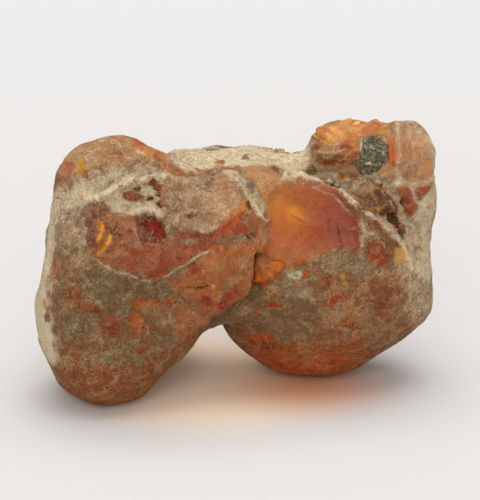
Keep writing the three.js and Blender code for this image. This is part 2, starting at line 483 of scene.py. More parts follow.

# %% [markdown]
# ## Ground coats
# Before any feature comes what the whole skin has: patches of brown and reddish resin, dust that is
# thickest on what faces up and back, and a belly that is cleaner and redder towards the bottom, partly
# bare rubbed resin and partly a painted glow of light coming through. Three small lifts come first
# and put the upper edge right.

# %%
# Ground coats
lay_spots(
    front,
    ((30.6, 21), (2.6, 2.2), 0, dict(lift=-1.6)), ((-11, 17), (4, 1.6), 0, dict(lift=0.6)),
    ((7, 18), (4, 1.2), 0, dict(lift=-0.5)),
)
points, normals = skin.points.copy(), skin.normals()
x, y, z = points.T
wide, patchy = rough_noise(points, 9, 3, 3), rough_noise(points, 3.5, 4, 3)
lay(ease(0.0, 0.5, wide), tint="9c6440", dust=0.3)
lay(ease(0.05, 0.45, -wide), tint="7c583a", dust=0.62)
lay(ease(0.15, 0.45, patchy), strength=0.6, tint="a05a3a", dust=0.2)
lay(ease(0.2, 0.5, -patchy), strength=0.5, dust=0.75)
lay(ease(2, 13, y) * ease(-0.2, 0.5, normals[:, 2] + 0.3), strength=0.6, dust=0.74, pale=0.7)
lay(ease(25, 33, x) * ease(6, 16, z), strength=0.8, dust=0.75, pale=0.8)
# Cleaner and redder towards the bottom: part wear, part painted glow.
lay(ease(11, 2, z), strength=0.8, tint="96502c", dust=0.12, glass=0.15)
print("the dust covers", round(float(paint["dust"].mean()), 2), "of the skin")

# %% [markdown]
# ## The other sides
# The other sides follow the same rules more freely: groups of flat faces where pieces split off,
# ridges of dust between them, and crust on the rest. Each side has a chart of its own, and edges fade
# out where a side turns away.

# %%
# Back
back = Chart(180, 12)


def broken_faces(chart, faces):
    """Presses neighbouring outlines into flat faces of clear resin, and returns where they are."""
    outlines = [outline for outline, tint in faces]
    for outline in outlines:
        press_flat(chart, chart.area(outline, soft=1.2, ragged=0.8), bow=-0.5, outward=0.0)
    chart.look()
    for outline in outlines:
        lay(chart.area(outline, 1.4, 2.0), strength=0.7, tint="8a5436", dust=0.35, glass=0.1)
    for outline, tint in faces:
        lay(chart.area(outline, 0.4, 1.3), strength=0.9, **resin(tint, 0.12, 0.6, lift=-0.3))
    return np.clip(sum(chart.area(outline, 0.8, 1.0) for outline in outlines), 0, 1)


BACK_FACES = [([(-20, 8), (-13, 12.6), (-4.6, 12), (-3.4, 5), (-8.6, 1), (-17, 2.4)], "b4743e"),
              ([(-3.4, 5), (-4.6, 12), (2, 11), (8, 4), (4, -3)], "9a4a2c"),
              ([(-17, 2.4), (-8.6, 1), (-3.4, 5), (4, -3), (1, -7), (-8, -11), (-16, -6)], "8a4228"),
              ([(13, 3), (18, 7), (20, 0), (16, -4)], "a45c38"),
              ([(20, 0), (18, 7), (24, 4), (27, -3), (22, -8), (16, -4)], "8e4c30")]
lay_areas(
    back,
    ([(-34, 12), (-20, 16), (0, 17), (14, 15), (24, 18), (32, 12), (33, 2), (22, 5), (8, 12), (-8, 14),
      (-22, 9), (-34, 4)],
     1.6, 2.2, dirt(0.75, 0.7)),
    ([(-31, -2), (-25, 1), (-22, -4), (-25, -10), (-31, -8)], 0.9, 1.4, resin("94522e", 0.2, 0.3, lift=-0.4)),
    ([(6, -6), (14, -7), (18, -12), (12, -15), (5, -12)], 1.2, 1.6, dirt(0.05, 0.7, tint="5e4a32")),
    ([(-20, -10), (-10, -12), (-12, -17), (-20, -16)], 1.2, 1.6, dirt(0.15, 0.65, tint="6e5638")),
    ([(24, 12), (29, 13), (31, 7), (28, 3)], 1.0, 1.2, resin("b27a54", 0.3, 0.2, pale=0.6)),
)
glassy_breaks = OLD_BREAK * broken_faces(back, BACK_FACES)
for centre, radii, tint in (((-12, 8), (5, 3), "c88c44"), ((0, 6), (3, 3), "b0602e"),
                            ((-6, -3), (5, 3), "a4562e"),
                            ((22, -2), (3, 3), "a86438")):
    lay(back.spot(centre, radii, soft=0.8, ragged=1.0), strength=0.8, tint=tint)
lay_crests(
    back,
    ([(-31, -1), (-25, 2), (-21, -3)], 0.6, dirt(0.7, 0.8, lift=0.4)),
    ([(6, -4), (9, -7), (15, -7.4), (21, -10)], 0.6, dirt(0.5, 0.8, lift=0.4)),
)
lay_lines(
    back,
    ([(-16, 5), (-11, 6), (-6, 9)], 0.22, resin("6a3418", 0.0, 0.5, lift=-0.15)),
    ([(-12, -2), (-6, -4), (0, -3)], 0.22, resin("5a1e10", 0.0, 0.5, lift=-0.15)),
    ([(9, 10), (12, 6), (11.6, 0), (14, -5)], 0.5, dirt(0.0, 0.8, lift=-0.5)),
    ([(-23, 8), (-21, 2), (-21, -4), (-17, -10)], 0.5, dirt(0.1, 0.8, lift=-0.5)),
)
print("the broken faces cover", int((glassy_breaks > 0.4).sum()), "points of the back")

# %% [markdown]
# The ends, the top and the underside have a chart each and the same three things: breaks, dust and
# creases. Where two charts overlap, both lie on the skin, which hides the seam between them.

# %%
# Right, left, top and underside
right = Chart(90, 8)
lay_areas(
    right,
    ([(-8, 14), (-2, 19), (6, 18), (8, 8), (4, -2), (-4, 0)], 1.0, 1.0, dirt(0.85, 0.85)),
    ([(-2, 10), (3, 13), (6, 9), (2, 6)], 1.0, 1.4, resin("b4805e", 0.25, 0.3, lift=-0.2)),
)
RIGHT_FACES = [([(3, 2), (7, 5.4), (9.6, 1), (8, -6), (4, -5)], "a8623a"),
               ([(9.6, 1), (7, 5.4), (13, 4.6), (16, -2), (12, -8), (8, -6)], "92482e")]
glassy_breaks = np.maximum(glassy_breaks, OLD_BREAK * broken_faces(right, RIGHT_FACES))
lay_lines(right, ([(-4, 12), (0, 8), (2, 4)], 0.45, dirt(0.0, 0.8, lift=-0.5)))
left = Chart(270, 8)
lay_areas(
    left,
    ([(-14, 12), (-4, 14), (6, 10), (8, -2), (2, -8), (-10, -6), (-15, 2)], 1.2, 1.2, dirt(0.72, 0.85)),
    ([(6, 8), (12, 6), (12, -4), (8, -6)], 1.2, 1.6, dirt(0.1, 0.7, tint="64503a")),
)
LEFT_FACES = [([(-10, 4), (-4, 8.6), (-0.4, 3), (-3, -3), (-9, -2)], "ae6c36"),
              ([(-0.4, 3), (-4, 8.6), (5, 6), (5, -1), (0, -6), (-3, -3)], "924a2e")]
glassy_breaks = np.maximum(glassy_breaks, OLD_BREAK * broken_faces(left, LEFT_FACES))
lay_lines(left, ([(8, 10), (7, 2), (10, -6)], 0.45, dirt(0.0, 0.8, lift=-0.5)))
top = Chart(0, 80)
lay_spots(
    top,
    ((-14, 6), (3, 1.6), 20, resin("a86440", 0.2, 0.2)),
    ((-2, 9), (2.4, 1.2), -10, resin("b07048", 0.2, 0.2, lift=-0.3)),
    ((6, 12), (2.6, 1.4), 30, dirt(0.2, 0.8)), ((22, 7), (4, 2.6), 0, resin("b67a48", 0.15, 0.6, lift=-0.3)),
    ((-4, 14), (3.4, 1.4), 10, dirt(0.15, 0.7, lift=-0.3)), ((-24, 1), (3, 2), 0, resin("b07c5c", 0.3, 0.1)),
)
underside = Chart(0, -80)
lay_areas(
    underside,
    ([(-30, 8), (-14, 8), (-12, -8), (-28, -10)], 1.5, 1.2, resin("98502a", 0.1, 0.35)),
    ([(0, 8), (24, 8), (26, -8), (2, -8)], 1.5, 1.2, resin("9e4a20", 0.06, 0.4)),
    ([(-12, 10), (0, 12), (2, -4), (-10, -4)], 1.2, 1.2, dirt(0.1, 0.85, tint="5e4c36")),
)
lay(ease(-30, -33, skin.points[:, 0]) * ease(4, -3, skin.points[:, 1]), strength=0.9, dust=0.95, pale=0.95)
lay(ease(28.5, 32, skin.points[:, 0]) * ease(3, -4, skin.points[:, 1]), strength=0.85, dust=0.72, pale=0.8)
print("all six sides are laid")

# %% [markdown]
# ## The two lobes
# The lobes are the rubbed outside of the lump. A thin khaki crust clings to the middle of each, worn
# through to brown-red resin in spots. At the bottom the crust is gone, and the redder bare resin there
# is also a painted glow of the light that comes through it.

# %%
# Lobes: crust
LEFT_LOBE = [(-36, 9), (-26, 9), (-26, 0), (-22, -3.5), (-13, -5.4), (-6, -11.6), (-2, -11), (-8, -16),
             (-16, -27), (-34, -27)]
RIGHT_LOBE = [(2, -8), (5, -6.5), (8, -3), (14, -1.6), (20, 0), (28, -1), (36, -2), (36, -26), (0, -26),
              (-4, -13)]
lay_areas(
    front,
    (LEFT_LOBE, 0.8, 1.0, resin("8c5634", dust=0.5, glass=0.0, pale=0.2)),
    # Bare red resin at the bottom of the left lobe, painted redder as glow of light coming through.
    ([(-31, -18.4), (-22, -19.6), (-12, -18.6), (-9, -16), (-14, -29), (-34, -29)], 3.0, 2.0,
     resin("94502e", dust=0.16, glass=0.1, pale=0.35)),
    ([(-25.5, -2.4), (-20, -4.6), (-12, -6), (-11, -8), (-17, -9), (-20, -11.5), (-25, -10), (-26.5, -6)],
     0.8, 1.0, dirt(0.16, 0.7, tint="644c34")),
    ([(-11, -9), (-4, -10.6), (-2, -10.6), (-5, -13), (-9, -16), (-11, -14)], 0.8, 0.7,
     resin("a8683c", dust=0.22, glass=0.1, pale=0.4)),
    ([(-38, -19), (-38, 10), (-30.4, 10), (-31, 3), (-32, -4), (-32.4, -12), (-31.2, -19)], 1.0, 0.6,
     dirt(1.0, 1.0)),
    (RIGHT_LOBE, 0.8, 1.0, resin("9a6444", dust=0.36, glass=0.0, pale=0.28)),
    ([(3, -8), (12, -8.6), (14, -12), (11, -15), (5, -15), (1, -12)], 1.2, 1.2,
     dirt(0.2, 0.56, tint="84603f")),
    ([(13, -1.2), (17, -0.2), (22, -1), (22, -4.6), (17, -5.6), (13.4, -4)], 0.8, 1.0,
     dirt(0.3, 0.62, tint="8e6848")),
    ([(7, -3.6), (9, -2.6), (12, -2.8), (12.6, -4.6), (10.6, -6), (13.6, -8.6), (10, -9.2), (7, -6.6)],
     0.5, 0.8, dirt(0.35, 0.8, tint="8a7854")),
    ([(27, 2), (31, 3), (34, -2), (34, -12), (30, -14), (27, -8), (26, -3)], 1.6, 1.0, dirt(0.62, 0.62)),
    # The same on the right lobe: bare resin painted orange-red as glow.
    ([(0, -16), (8, -15.8), (16, -17), (22, -17), (16, -27), (0, -27)], 3.0, 2.0,
     resin("b0562a", dust=0.04, glass=0.3)),
)
tell("crust on the lobes")

# %% [markdown]
# Spots where the crust wore through come as a list of ovals, each with its middle, its two radii, the
# way it leans and what is laid there.

# %%
# Lobes: worn spots
lay_spots(
    front,
    ((-28.2, -7.4), (1.6, 1.3), 0, resin("8a4628", 0.1, 0.1)),
    ((-26, -9.6), (2.6, 0.9), -20, resin("8a4628", 0.1, 0.1)),
    ((-16.4, -9), (2.6, 0.9), 0, resin("a8622e", 0.1)), ((-12, -8.7), (1.3, 0.9), 0, resin("984a2c", 0.1)),
    ((-22, -13), (1.8, 1.5), 0, resin("924a2e", 0.12)),
    ((-17.4, -12.6), (1.5, 1.8), 0, resin("a4582e", 0.15)),
    ((-27.5, -12.8), (3, 1.8), 0, dirt(0.2, 0.7, tint="6e5638")),
    ((-12.6, -15), (2.2, 1.2), 0, dirt(0.15, 0.7)),
    ((-20, -17.6), (4, 2), 0, dirt(0.2, 0.6, tint="7e5e3e")),
    ((-17, -17.3), (0.9, 0.6), 0, resin("94502c", 0.1)),
    ((-33, -11.3), (0.6, 1), 0, resin("74342c", 0.1)),
    ((-33.4, -9.4), (0.5, 0.9), 0, resin("d0ac48", 0.1, 0.3)),
    ((-29, 0.6), (0.7, 0.5), 0, resin("7a3226", 0.2)), ((-28.2, 2.2), (0.7, 0.5), 40, resin("8a4236", 0.2)),
    ((-27.4, 1.2), (0.3, 0.9), 0, resin("c89a3c", 0.1, 0.3)), ((-27.5, 5.1), (0.3, 0.25), 0, resin("201812")),
    ((-27, -2), (2, 1.4), 0, dirt(0.4, 0.55, tint="9a6a4c")),
    ((-31.4, -3), (0.8, 3), 0, resin("a06a4c", 0.3, 0.0)),
    ((11.4, -4), (0.8, 0.6), 30, resin("c0603a")), ((9.4, -4.1), (1.4, 0.7), 0, dirt(0.8, 0.9)),
    ((17, -8), (1.8, 0.6), 8, resin("a84c2c")), ((15, -8.8), (0.9, 0.6), 0, resin("a84c2c")),
    ((5.7, -9.4), (1.3, 0.6), 10, resin("b8502a")), ((3.2, -10.8), (0.7, 0.4), 0, resin("a84c2e")),
    ((18.2, -12.3), (1.4, 0.6), 8, resin("a84c2c")), ((3.6, -15), (2.2, 0.7), -5, resin("b8521f")),
    ((4, -16.2), (2.4, 0.8), 0, resin("8e3818")), ((15, -5.4), (1.3, 0.8), 0, resin("a85a3a", 0.1)),
    ((24.6, -8.6), (3.4, 2.4), 20, resin("8e503c", 0.2, 0.0)),
    ((23.4, -1.2), (1.8, 1.6), 0, resin("9e4028", 0.1)),
    ((27, -1.2), (1.0, 1.3), 0, resin("d0a85c", 0.25, pale=1.0)),
    ((17.7, -4.8), (0.8, 0.7), 0, resin("c8a058", 0.2)),
    ((28.6, -3.4), (0.4, 1.4), 0, resin("d8b078", 0.4, pale=1.0)),
    ((9.6, -6.2), (0.9, 0.5), 0, resin("c0844a", 0.2)),
)
tell("worn spots")

# %% [markdown]
# ## The knob
# The knob on the left is the same weathered resin, but rubbed to a pinkish tan. Below it the skin sinks
# into a dirty hollow, and a ridge of cream dust marks where the break face starts.

# %%
# Knob, hollow and ridge
KNOB = [(-31.5, 13), (-30.6, 16), (-27, 19.5), (-22, 21), (-17, 20.5), (-12.5, 16.5), (-8.4, 12.4),
        (-10, 12.6), (-14, 14.8), (-19, 14.6), (-24, 13.2), (-28, 12)]
HOLLOW = [(-29, 10), (-24, 9.8), (-20, 12.2), (-14, 13.3), (-10, 12.6), (-12, 14.4), (-18, 14.6), (-24, 13.4),
          (-28, 12.6)]
RIDGE = [(-26, 8.4), (-24.8, 8.4), (-22, 9.9), (-20, 11), (-18.4, 11.9), (-17, 11.5), (-15.4, 12.1),
         (-13.6, 12.6)]
lay_areas(
    front,
    (KNOB, 0.9, 0.6, resin("b28462", dust=0.34, glass=0.0, pale=0.62)),
    (HOLLOW, 1.0, 0.8, dirt(0.66, 0.88, lift=-0.7)),
    ([(-31, 9.6), (-24, 8.6), (-24.6, 5), (-26.2, 0), (-31, 0)], 0.8, 0.8, dirt(0.5, 0.75)),
    ([(-31, 11), (-26, 11), (-24, 9), (-26, 7), (-31, 7)], 1.2, 0.8, dirt(0.9, 0.9)),
    ([(-24, 9), (-16, 12.4), (-9, 12.6), (-10, 4), (-13, 5), (-17, 6.4), (-22, 5.4)], 0.6, 0.7,
     dirt(0.75, 0.9)),
)
lay_lines(
    front,
    ([(-18, 18.6), (-16, 17), (-13, 15), (-10.5, 13.2), (-8.8, 12.3)], 0.9,
     resin("b0682e", 0.1, 0.3, lift=0.15)),
    ([(-16.4, 16.8), (-15, 16.1)], 0.4, resin("d09a30", 0.0, 0.5)),
    ([(-17.4, 18.2), (-16.8, 17.5)], 0.6, resin("b0501c", 0.0, 0.4)),
    ([(-17.8, 17), (-16.6, 16.4), (-15.4, 15.6)], 0.25, dirt(0.9, 0.6)),
)
lay_crests(front, (RIDGE, 1.0, dirt(0.95, 1.0, lift=1.0, strength=1.6)))
lay_spots(
    front,
    # The yellow oval on the next line is a painted glint.
    ((-27.2, 14.4), (0.7, 1.3), -10, resin("c09a2a", 0.05, 0.4)),
    ((-26.6, 13), (0.4, 0.7), 20, resin("b86a24")),
    ((-29.3, 14.2), (0.9, 0.9), 0, resin("b8705a", 0.1)),
    ((-19.6, 19.2), (0.7, 0.5), 0, resin("b07058", 0.1)),
    ((-20.4, 16.4), (1.6, 0.3), 15, resin("9a5c44", 0.2)),
    ((-13.4, 17.6), (0.9, 0.4), -35, resin("a86440", 0.1)),
)
print("the ridge has", len(RIDGE), "knots")

# %% [markdown]
# ## The slope under the ridge
# Dust lies thick on the slope, but little chips came away with the dust on them and left dark red
# pits. A slab of cream dust overhangs the one deep red window.

# %%
# Pits, cream slab and red window
RED_PITS = [((-18.4, 9.2), (1.3, 0.9)), ((-17.4, 10.4), (0.7, 0.3)), ((-15, 11.1), (0.8, 0.4)),
            ((-14, 10.3), (0.9, 0.6)), ((-13.7, 9.1), (0.5, 0.5)), ((-15.4, 8.4), (0.6, 0.3)),
            ((-13.9, 7.4), (0.4, 0.3)), ((-12.6, 7.6), (0.5, 0.3))]
for centre, radii in RED_PITS:
    wide = (radii[0] * 1.1, radii[1] * 1.1)
    lay(front.spot(centre, wide, soft=0.3, ragged=0.5), lift=-0.4, strength=1.3, **resin("8a4434", 0.05, 0.3))
lay_areas(
    front,
    ([(-20.8, 5.6), (-18, 7.2), (-15.4, 7.6), (-14.2, 6.9), (-14.4, 6.2), (-17, 6.2), (-18.6, 5.6)], 0.3, 0.3,
     dirt(0.95, 1.0, lift=0.45)),
    (PLATE, 0.5, 0.5, resin("9c5a40", dust=0.24, glass=0.35, pale=0.4, lift=0.5)),
    (RED_WINDOW, 0.25, 0.25, resin("661206", 0.0, 0.3, lift=-0.5)),
)
lay_spots(
    front,
    ((-16.2, 1.9), (0.9, 0.8), 0, resin("5e1a10", 0.1, 0.4)),
    ((-17, 4.6), (0.5, 1.2), 10, resin("5c1408", 0.0, 0.3)),
    ((-14.2, 3.6), (1.6, 1.3), -50, resin("84200a", 0.0, 0.3)),
)
tell("slope, pits and red window")

# %% [markdown]
# ## The eye on the left
# A purple bump hangs over a round scoop, like a brow over an eye. Two cracks in the scoop catch the
# light from inside, and their yellow shine is a painted glint.

# %%
# Bump, scoop and yellow cracks
lay_spots(
    front,
    ((-23.2, 1.8), (2.0, 3.2), 0, resin("8e5a34", 0.1, 0.4, lift=-0.9)),
    ((-25.2, 2.8), (0.8, 2.8), 5, resin("74444a", 0.1)),
    ((-24.4, 6.4), (2.1, 1.8), 0, resin("906468", 0.12, 0.3, lift=0.7)),
    ((-24.3, 6.8), (1.3, 1.1), 0, dict(lift=0.6)),
    ((-23.6, 5.1), (1.3, 0.4), 0, resin("6a3236")), ((-22.4, 5.6), (0.5, 0.4), 0, resin("c08a2c", 0.05)),
    ((-21, 3.6), (0.8, 0.8), 0, resin("7e4430", 0.15)), ((-20.9, 2.4), (0.9, 0.4), 0, resin("6c2e22", 0.1)),
    ((-18.6, 3.2), (0.5, 0.5), 0, resin("702a1e")), ((-19.4, 0.6), (0.5, 0.7), 0, dirt(0.0, 0.6)),
)
lay_lines(
    front,
    # The two yellow lines are painted glints of light caught in the cracks.
    ([(-23.4, 4.3), (-23.7, 3), (-24.2, 1.9)], 0.42, resin("f0b040", 0.0, 0.3)),
    ([(-21.9, 2.5), (-22.2, 1.4), (-23, 0.4), (-24, -0.4)], 0.42, resin("f4b034", 0.0, 0.3)),
    ([(-22.6, 3.9), (-21.5, 2.9), (-21.3, 1.6)], 0.3, resin("6a3424", 0.0, 0.3)),
)
tell("eye")

# %% [markdown]
# ## The plate
# The broken plate runs across the front. Its upper part is a smooth rosy film, its lower part a clearer
# orange, and a fine straight crack filled with pale dust parts the two.

# %%
# Plate
PALE_LINE = [(-13.3, -4.7), (-10, -2.8), (-7.5, -1.2), (-5.2, 0.0)]
PLATE_EDGE = [(-25.4, -1), (-24, -2), (-21.6, -3.6), (-18, -4.6), (-15.6, -5.2)]
lay_areas(
    front,
    ([(-19.5, 0.6), (-14, 0.6), (-11.6, -0.6), (-11.4, -3), (-13.6, -4.6), (-18, -4), (-20, -2)], 0.6, 0.4,
     resin("9a4c34", 0.05, 0.55)),
    ([(-11, -4), (-4, 0.4), (0.4, 1.2), (4.4, 1), (2.6, -1.4), (2.4, -6), (0.6, -8.4), (-3, -10.4),
      (-8, -8)], 0.5, 0.4,
     resin("b06a40", 0.14, 0.35, pale=0.5)),
    ([(-12, 0.4), (-6, 2.2), (0.6, 5), (1.4, 3.4), (-3, 1.6), (-8, -0.8), (-12, -3)], 0.4, 0.3,
     resin("9c4a30", 0.06, 0.5)),
)
lay_crests(front, (PLATE_EDGE, 0.4, dirt(0.75, 0.7, lift=0.2)))
lay_lines(
    front,
    ([(-13, -4.9), (-10, -3.4), (-8.4, -2.4)], 0.6, dirt(0.05, 0.8, lift=-0.2)),
    ([(-4.8, 0.2), (-2.4, 1.4), (0.4, 2.3)], 0.6, dirt(0.12, 0.9)),
    ([(1.0, -0.4), (1.0, -2), (0.9, -4.4)], 0.3, dirt(0.1, 0.55)),
    ([(-9, -6.2), (-7.4, -6.5), (-5.4, -6.2)], 0.24, resin("5a2010", 0.0, 0.1, lift=-0.3)),
)
lay_spots(
    front,
    ((-8.4, 1.5), (1.7, 0.8), 8, dirt(0.3, 0.8)), ((-17, -2), (1.4, 0.35), 0, dirt(0.2, 0.7)),
    ((-17, -4), (1.8, 0.6), 0, resin("7e4438", 0.15)),
    ((-7.4, -2.8), (1.4, 1.1), 30, resin("9e442c", 0.08, 0.4)),
    # The second oval on the next line, at the end of the dark crack, is a painted glint.
    ((-3.8, -3.2), (0.5, 0.8), -20, dirt(0.2, 0.55)), ((-4.4, -6), (0.4, 0.25), 0, resin("e0b450", 0.0, 0.5)),
    ((-2.4, -5.6), (0.5, 1.3), -30, dirt(0.3, 0.5)),
    ((-1.4, -7.2), (1.5, 1.2), 20, resin("9c4c30", 0.0, 0.5)),
    ((-3.3, -8.9), (1.0, 0.8), 20, resin("8c2a20", 0.0, 0.5)),
    ((-5.6, -8.5), (1.3, 0.7), 0, resin("963a2c", 0.05)),
    ((-4, 0.3), (1.6, 0.5), 10, resin("bc6c38", 0.0, 0.5)),
    ((1.7, 2.5), (1.1, 0.7), 5, resin("2c2e22", 0.3, 0.0, pale=0.0)),
)
lay(front.line(PALE_LINE, 0.2, ragged=0.1), lift=0.06, strength=0.75, **dirt(0.9, 0.85))
print("the plate is edged with", len(PLATE_EDGE), "knots")

# %% [markdown]
# ## The terrace
# Above the plate lies a thicker slab, rough and speckled with grey and pink. Its lower edge is a fresh
# break. The dark red band under its left part is painted shade, and the orange further right is
# painted glow of light coming through the break.

# %%
# Terrace
TERRACE = [(-13, 13), (-9, 12.2), (-4, 13.4), (0, 13.8), (0.4, 11.4), (1.6, 9), (2, 7.6), (-1, 5.2),
           (-3, 3.8), (-5, 2.9), (-10, 3), (-12, 3.4), (-13.4, 5.6), (-13.4, 8)]
lay_areas(
    front,
    (TERRACE, 0.25, 0.5, resin("a87058", 0.64, 0.0, pale=0.42, lift=0.8)),
    ([(-4.6, 11), (-0.6, 11.6), (1, 8), (-1.4, 5.6), (-4, 4.4), (-6, 7)], 1.0, 0.8,
     resin("bc8668", 0.45, 0.0, pale=0.5)),
)
lay_lines(
    front,
    # A dark red band of painted shade under the slab's edge, then the edge painted orange as glow.
    ([(-11, 2.6), (-8, 2.4), (-5, 2.5), (-3.4, 3.2)], 0.55, resin("8c3a24", 0.04, 0.6)),
    ([(-3.4, 3.4), (-1.8, 4.4), (-0.6, 5.4)], 0.85, resin("b4582a", 0.0, 0.6)),
    ([(-1, 5.6), (0.4, 6.6), (1.4, 7.8)], 0.5, resin("c88236", 0.0, 0.6)),
    ([(-12, 9.4), (-8, 10.6), (-5, 10)], 0.9, dirt(0.2, 0.8, lift=-0.2, strength=0.5)),
    ([(-12.6, 6.4), (-10, 6.2), (-7.4, 7)], 0.6, dirt(0.2, 0.8, lift=-0.15, strength=0.5)),
    ([(-10, 12.8), (-6, 13.2), (-2, 13.8), (0, 13.6)], 0.5, resin("a8642e", 0.3, 0.2)),
)
lay_spots(
    front,
    ((-8, 5.4), (0.9, 0.35), 10, resin("54402e", 0.4, 0.0, pale=0.0)),
    ((-1.8, 13.6), (0.5, 0.3), 0, resin("d0a030")),
    ((-5.4, 11.2), (0.8, 0.4), 20, dirt(0.0, 0.8)), ((1.5, 7), (0.4, 0.7), 10, resin("84481e", 0.0, 0.2)),
    ((-2.4, 10.6), (1.6, 1.2), 0, resin("c08a6c", 0.3, 0.0)),
)
tell("terrace")

# %% [markdown]
# ## The cleft
# A gap between terrace and window is packed with grey-green dirt. A thin wall of cream dust stands
# along its left side.

# %%
# Cleft and the pink face beside it
CLEFT = [(0.2, 12.8), (2.2, 11.8), (3.3, 9.6), (4.5, 7.6), (5.1, 5.8), (4.7, 4.9), (3.6, 5.5), (2.6, 6.7),
         (1.9, 8.1), (1, 9.7), (-0.2, 11.2)]
CLEFT_WALL = [(-2.6, 12.4), (-1, 12.3), (-0.2, 11.3), (1, 9.6), (1.9, 8), (2.6, 6.7), (3.6, 5.6), (4.9, 4.9)]
lay_areas(
    front,
    ([(-0.6, 14.2), (4, 14.6), (7, 12.6), (6.4, 9), (5.6, 5), (3.8, 7.8), (1.2, 12.2)], 0.5, 0.4,
     resin("c08a66", 0.24, 0.3, pale=0.6)),
    (CLEFT, 0.2, 0.1, dirt(0.5, 1.0, tint="8a7c5e", lift=-0.7)),
)
lay(front.crest(CLEFT_WALL, 0.7, ragged=0.1), lift=0.8)
lay(front.crest(CLEFT_WALL, 0.55, ragged=0.1), strength=2.4, **dirt(1.0, 1.0))
lay_spots(
    front,
    ((-1.2, 12.3), (1.6, 0.5), 0, dirt(1.0, 1.0, lift=0.2)),
    ((4.6, 4), (0.6, 0.3), 0, resin("3c3422", 0.5, 0.0, pale=0.1)),
    ((5.6, 3.8), (0.6, 0.4), 0, dirt(0.7, 0.8)), ((1.6, 11.2), (0.9, 0.5), -50, dirt(0.1, 0.9)),
)
tell("cleft")

# %% [markdown]
# ## The window
# This is the face through which the clear resin shows. Its glow is painted into its colour: golden
# where light would come through from behind, and red where the resin is deep. Soft-edged ovals laid
# over each other give the slow change.

# %%
# Window
WINDOW_RIDGE = [(7.6, 12.2), (10.4, 12.2), (13, 11.8), (15, 11.4), (16.4, 10.4), (18, 8.9), (20, 7.3),
                (22, 5.8), (24, 3.8), (25.8, 2), (27.4, 0.4), (28.2, -1.2), (28.6, -3)]
lay(front.area(WINDOW, soft=0.9, ragged=0.4), lift=-0.4, **resin("aa5424", 0.02, 1.0, pale=0.6))
# Each oval is painted glow: light coming through the clear resin, golden or deep red.
PAINTED_WINDOW_GLOWS = [((7.6, 8), (3.2, 3.8), 10, "b87428"), ((8.8, 5.2), (3.4, 1.8), -20, "c47614"),
         ((12.4, 9.4), (3.6, 2.2), -20, "9e5222"), ((9.2, 6), (1.6, 0.9), -20, "da9020"),
         ((8, 1.8), (3.6, 2.4), 0, "b26024"), ((16.6, 6), (2.6, 3), 30, "8c3210"),
         ((18, 2.4), (2.6, 2.8), 0, "842a08"), ((13.6, 2.4), (2.4, 3), 0, "984418"),
         ((7.4, -1), (4, 1.7), 0, "b86c38"), ((4.2, 2.6), (1.6, 3), 0, "b46e44"),
         ((4.8, 9.4), (1.4, 3), 10, "c48c58"), ((12, -0.6), (3, 1.2), 0, "aa6440")]
for centre, radii, turn, tint in PAINTED_WINDOW_GLOWS:
    lay(front.spot(centre, radii, turn, soft=0.8, ragged=0.8), strength=0.85, tint=tint)
lay(front.area([(3, 1), (6, 1), (11, -0.2), (11.6, -3), (7, -3.4), (3.6, -1)], soft=1.0), strength=0.7,
    glass=0.4, dust=0.12)
lay(front.crest(WINDOW_RIDGE, 0.9), lift=1.2)
lay(front.crest(WINDOW_RIDGE, 0.5), strength=1.8, **dirt(1.0, 1.0))
lay_lines(
    front,
    ([(16.4, 5.4), (16.9, 3), (17.3, 0.4)], 0.18, resin("4c180c", 0.0, 0.5)),
    ([(15, 5.2), (15, 3.2)], 0.14, resin("7a3018", 0.0, 0.6)),
    ([(8.6, 5.9), (9.8, 5.4), (10.9, 4.8)], 0.16, resin("8a4c18", 0.0, 0.7)),
    ([(12.4, 10.8), (14, 10.3), (15.6, 9.5), (17.4, 7.8), (19, 6)], 0.22, dirt(0.9, 0.6)),
    ([(17.2, 9.2), (18.6, 7.6), (19.8, 5.8), (20.6, 4.4)], 0.3, resin("a8544c", 0.2, 0.3, pale=1.0)),
    ([(20.2, 5), (21.4, 3.4), (23, 2), (24.4, 0.6)], 0.3, dirt(0.9, 0.65)),
    ([(20.7, 2.4), (20.9, 1.2), (20.7, 0.4)], 0.3, resin("c8a060", 0.3, 0.2, pale=1.0)),
    ([(5.6, 14.2), (6.6, 13.4), (7.6, 12.7)], 0.45, resin("98361f", 0.0, 0.5)),
)
lay_spots(
    front,
    ((22, 1.9), (1.0, 0.7), 30, dirt(0.25, 0.8)), ((22.6, 4.2), (1.4, 0.7), -40, resin("96452c", 0.2)),
    ((22.8, 0.4), (1.3, 1.2), 0, resin("98482e", 0.12)), ((18.8, 3.8), (0.7, 0.3), 0, dirt(0.2, 0.5)),
)
print("the window has", len(PAINTED_WINDOW_GLOWS), "glowing patches")

# %% [markdown]
# ## The pit between the lobes
# Where the plate ends a chip fell out and left a deep orange pit with a dark, sharp left wall. Below it
# a crease runs down between the two lobes.

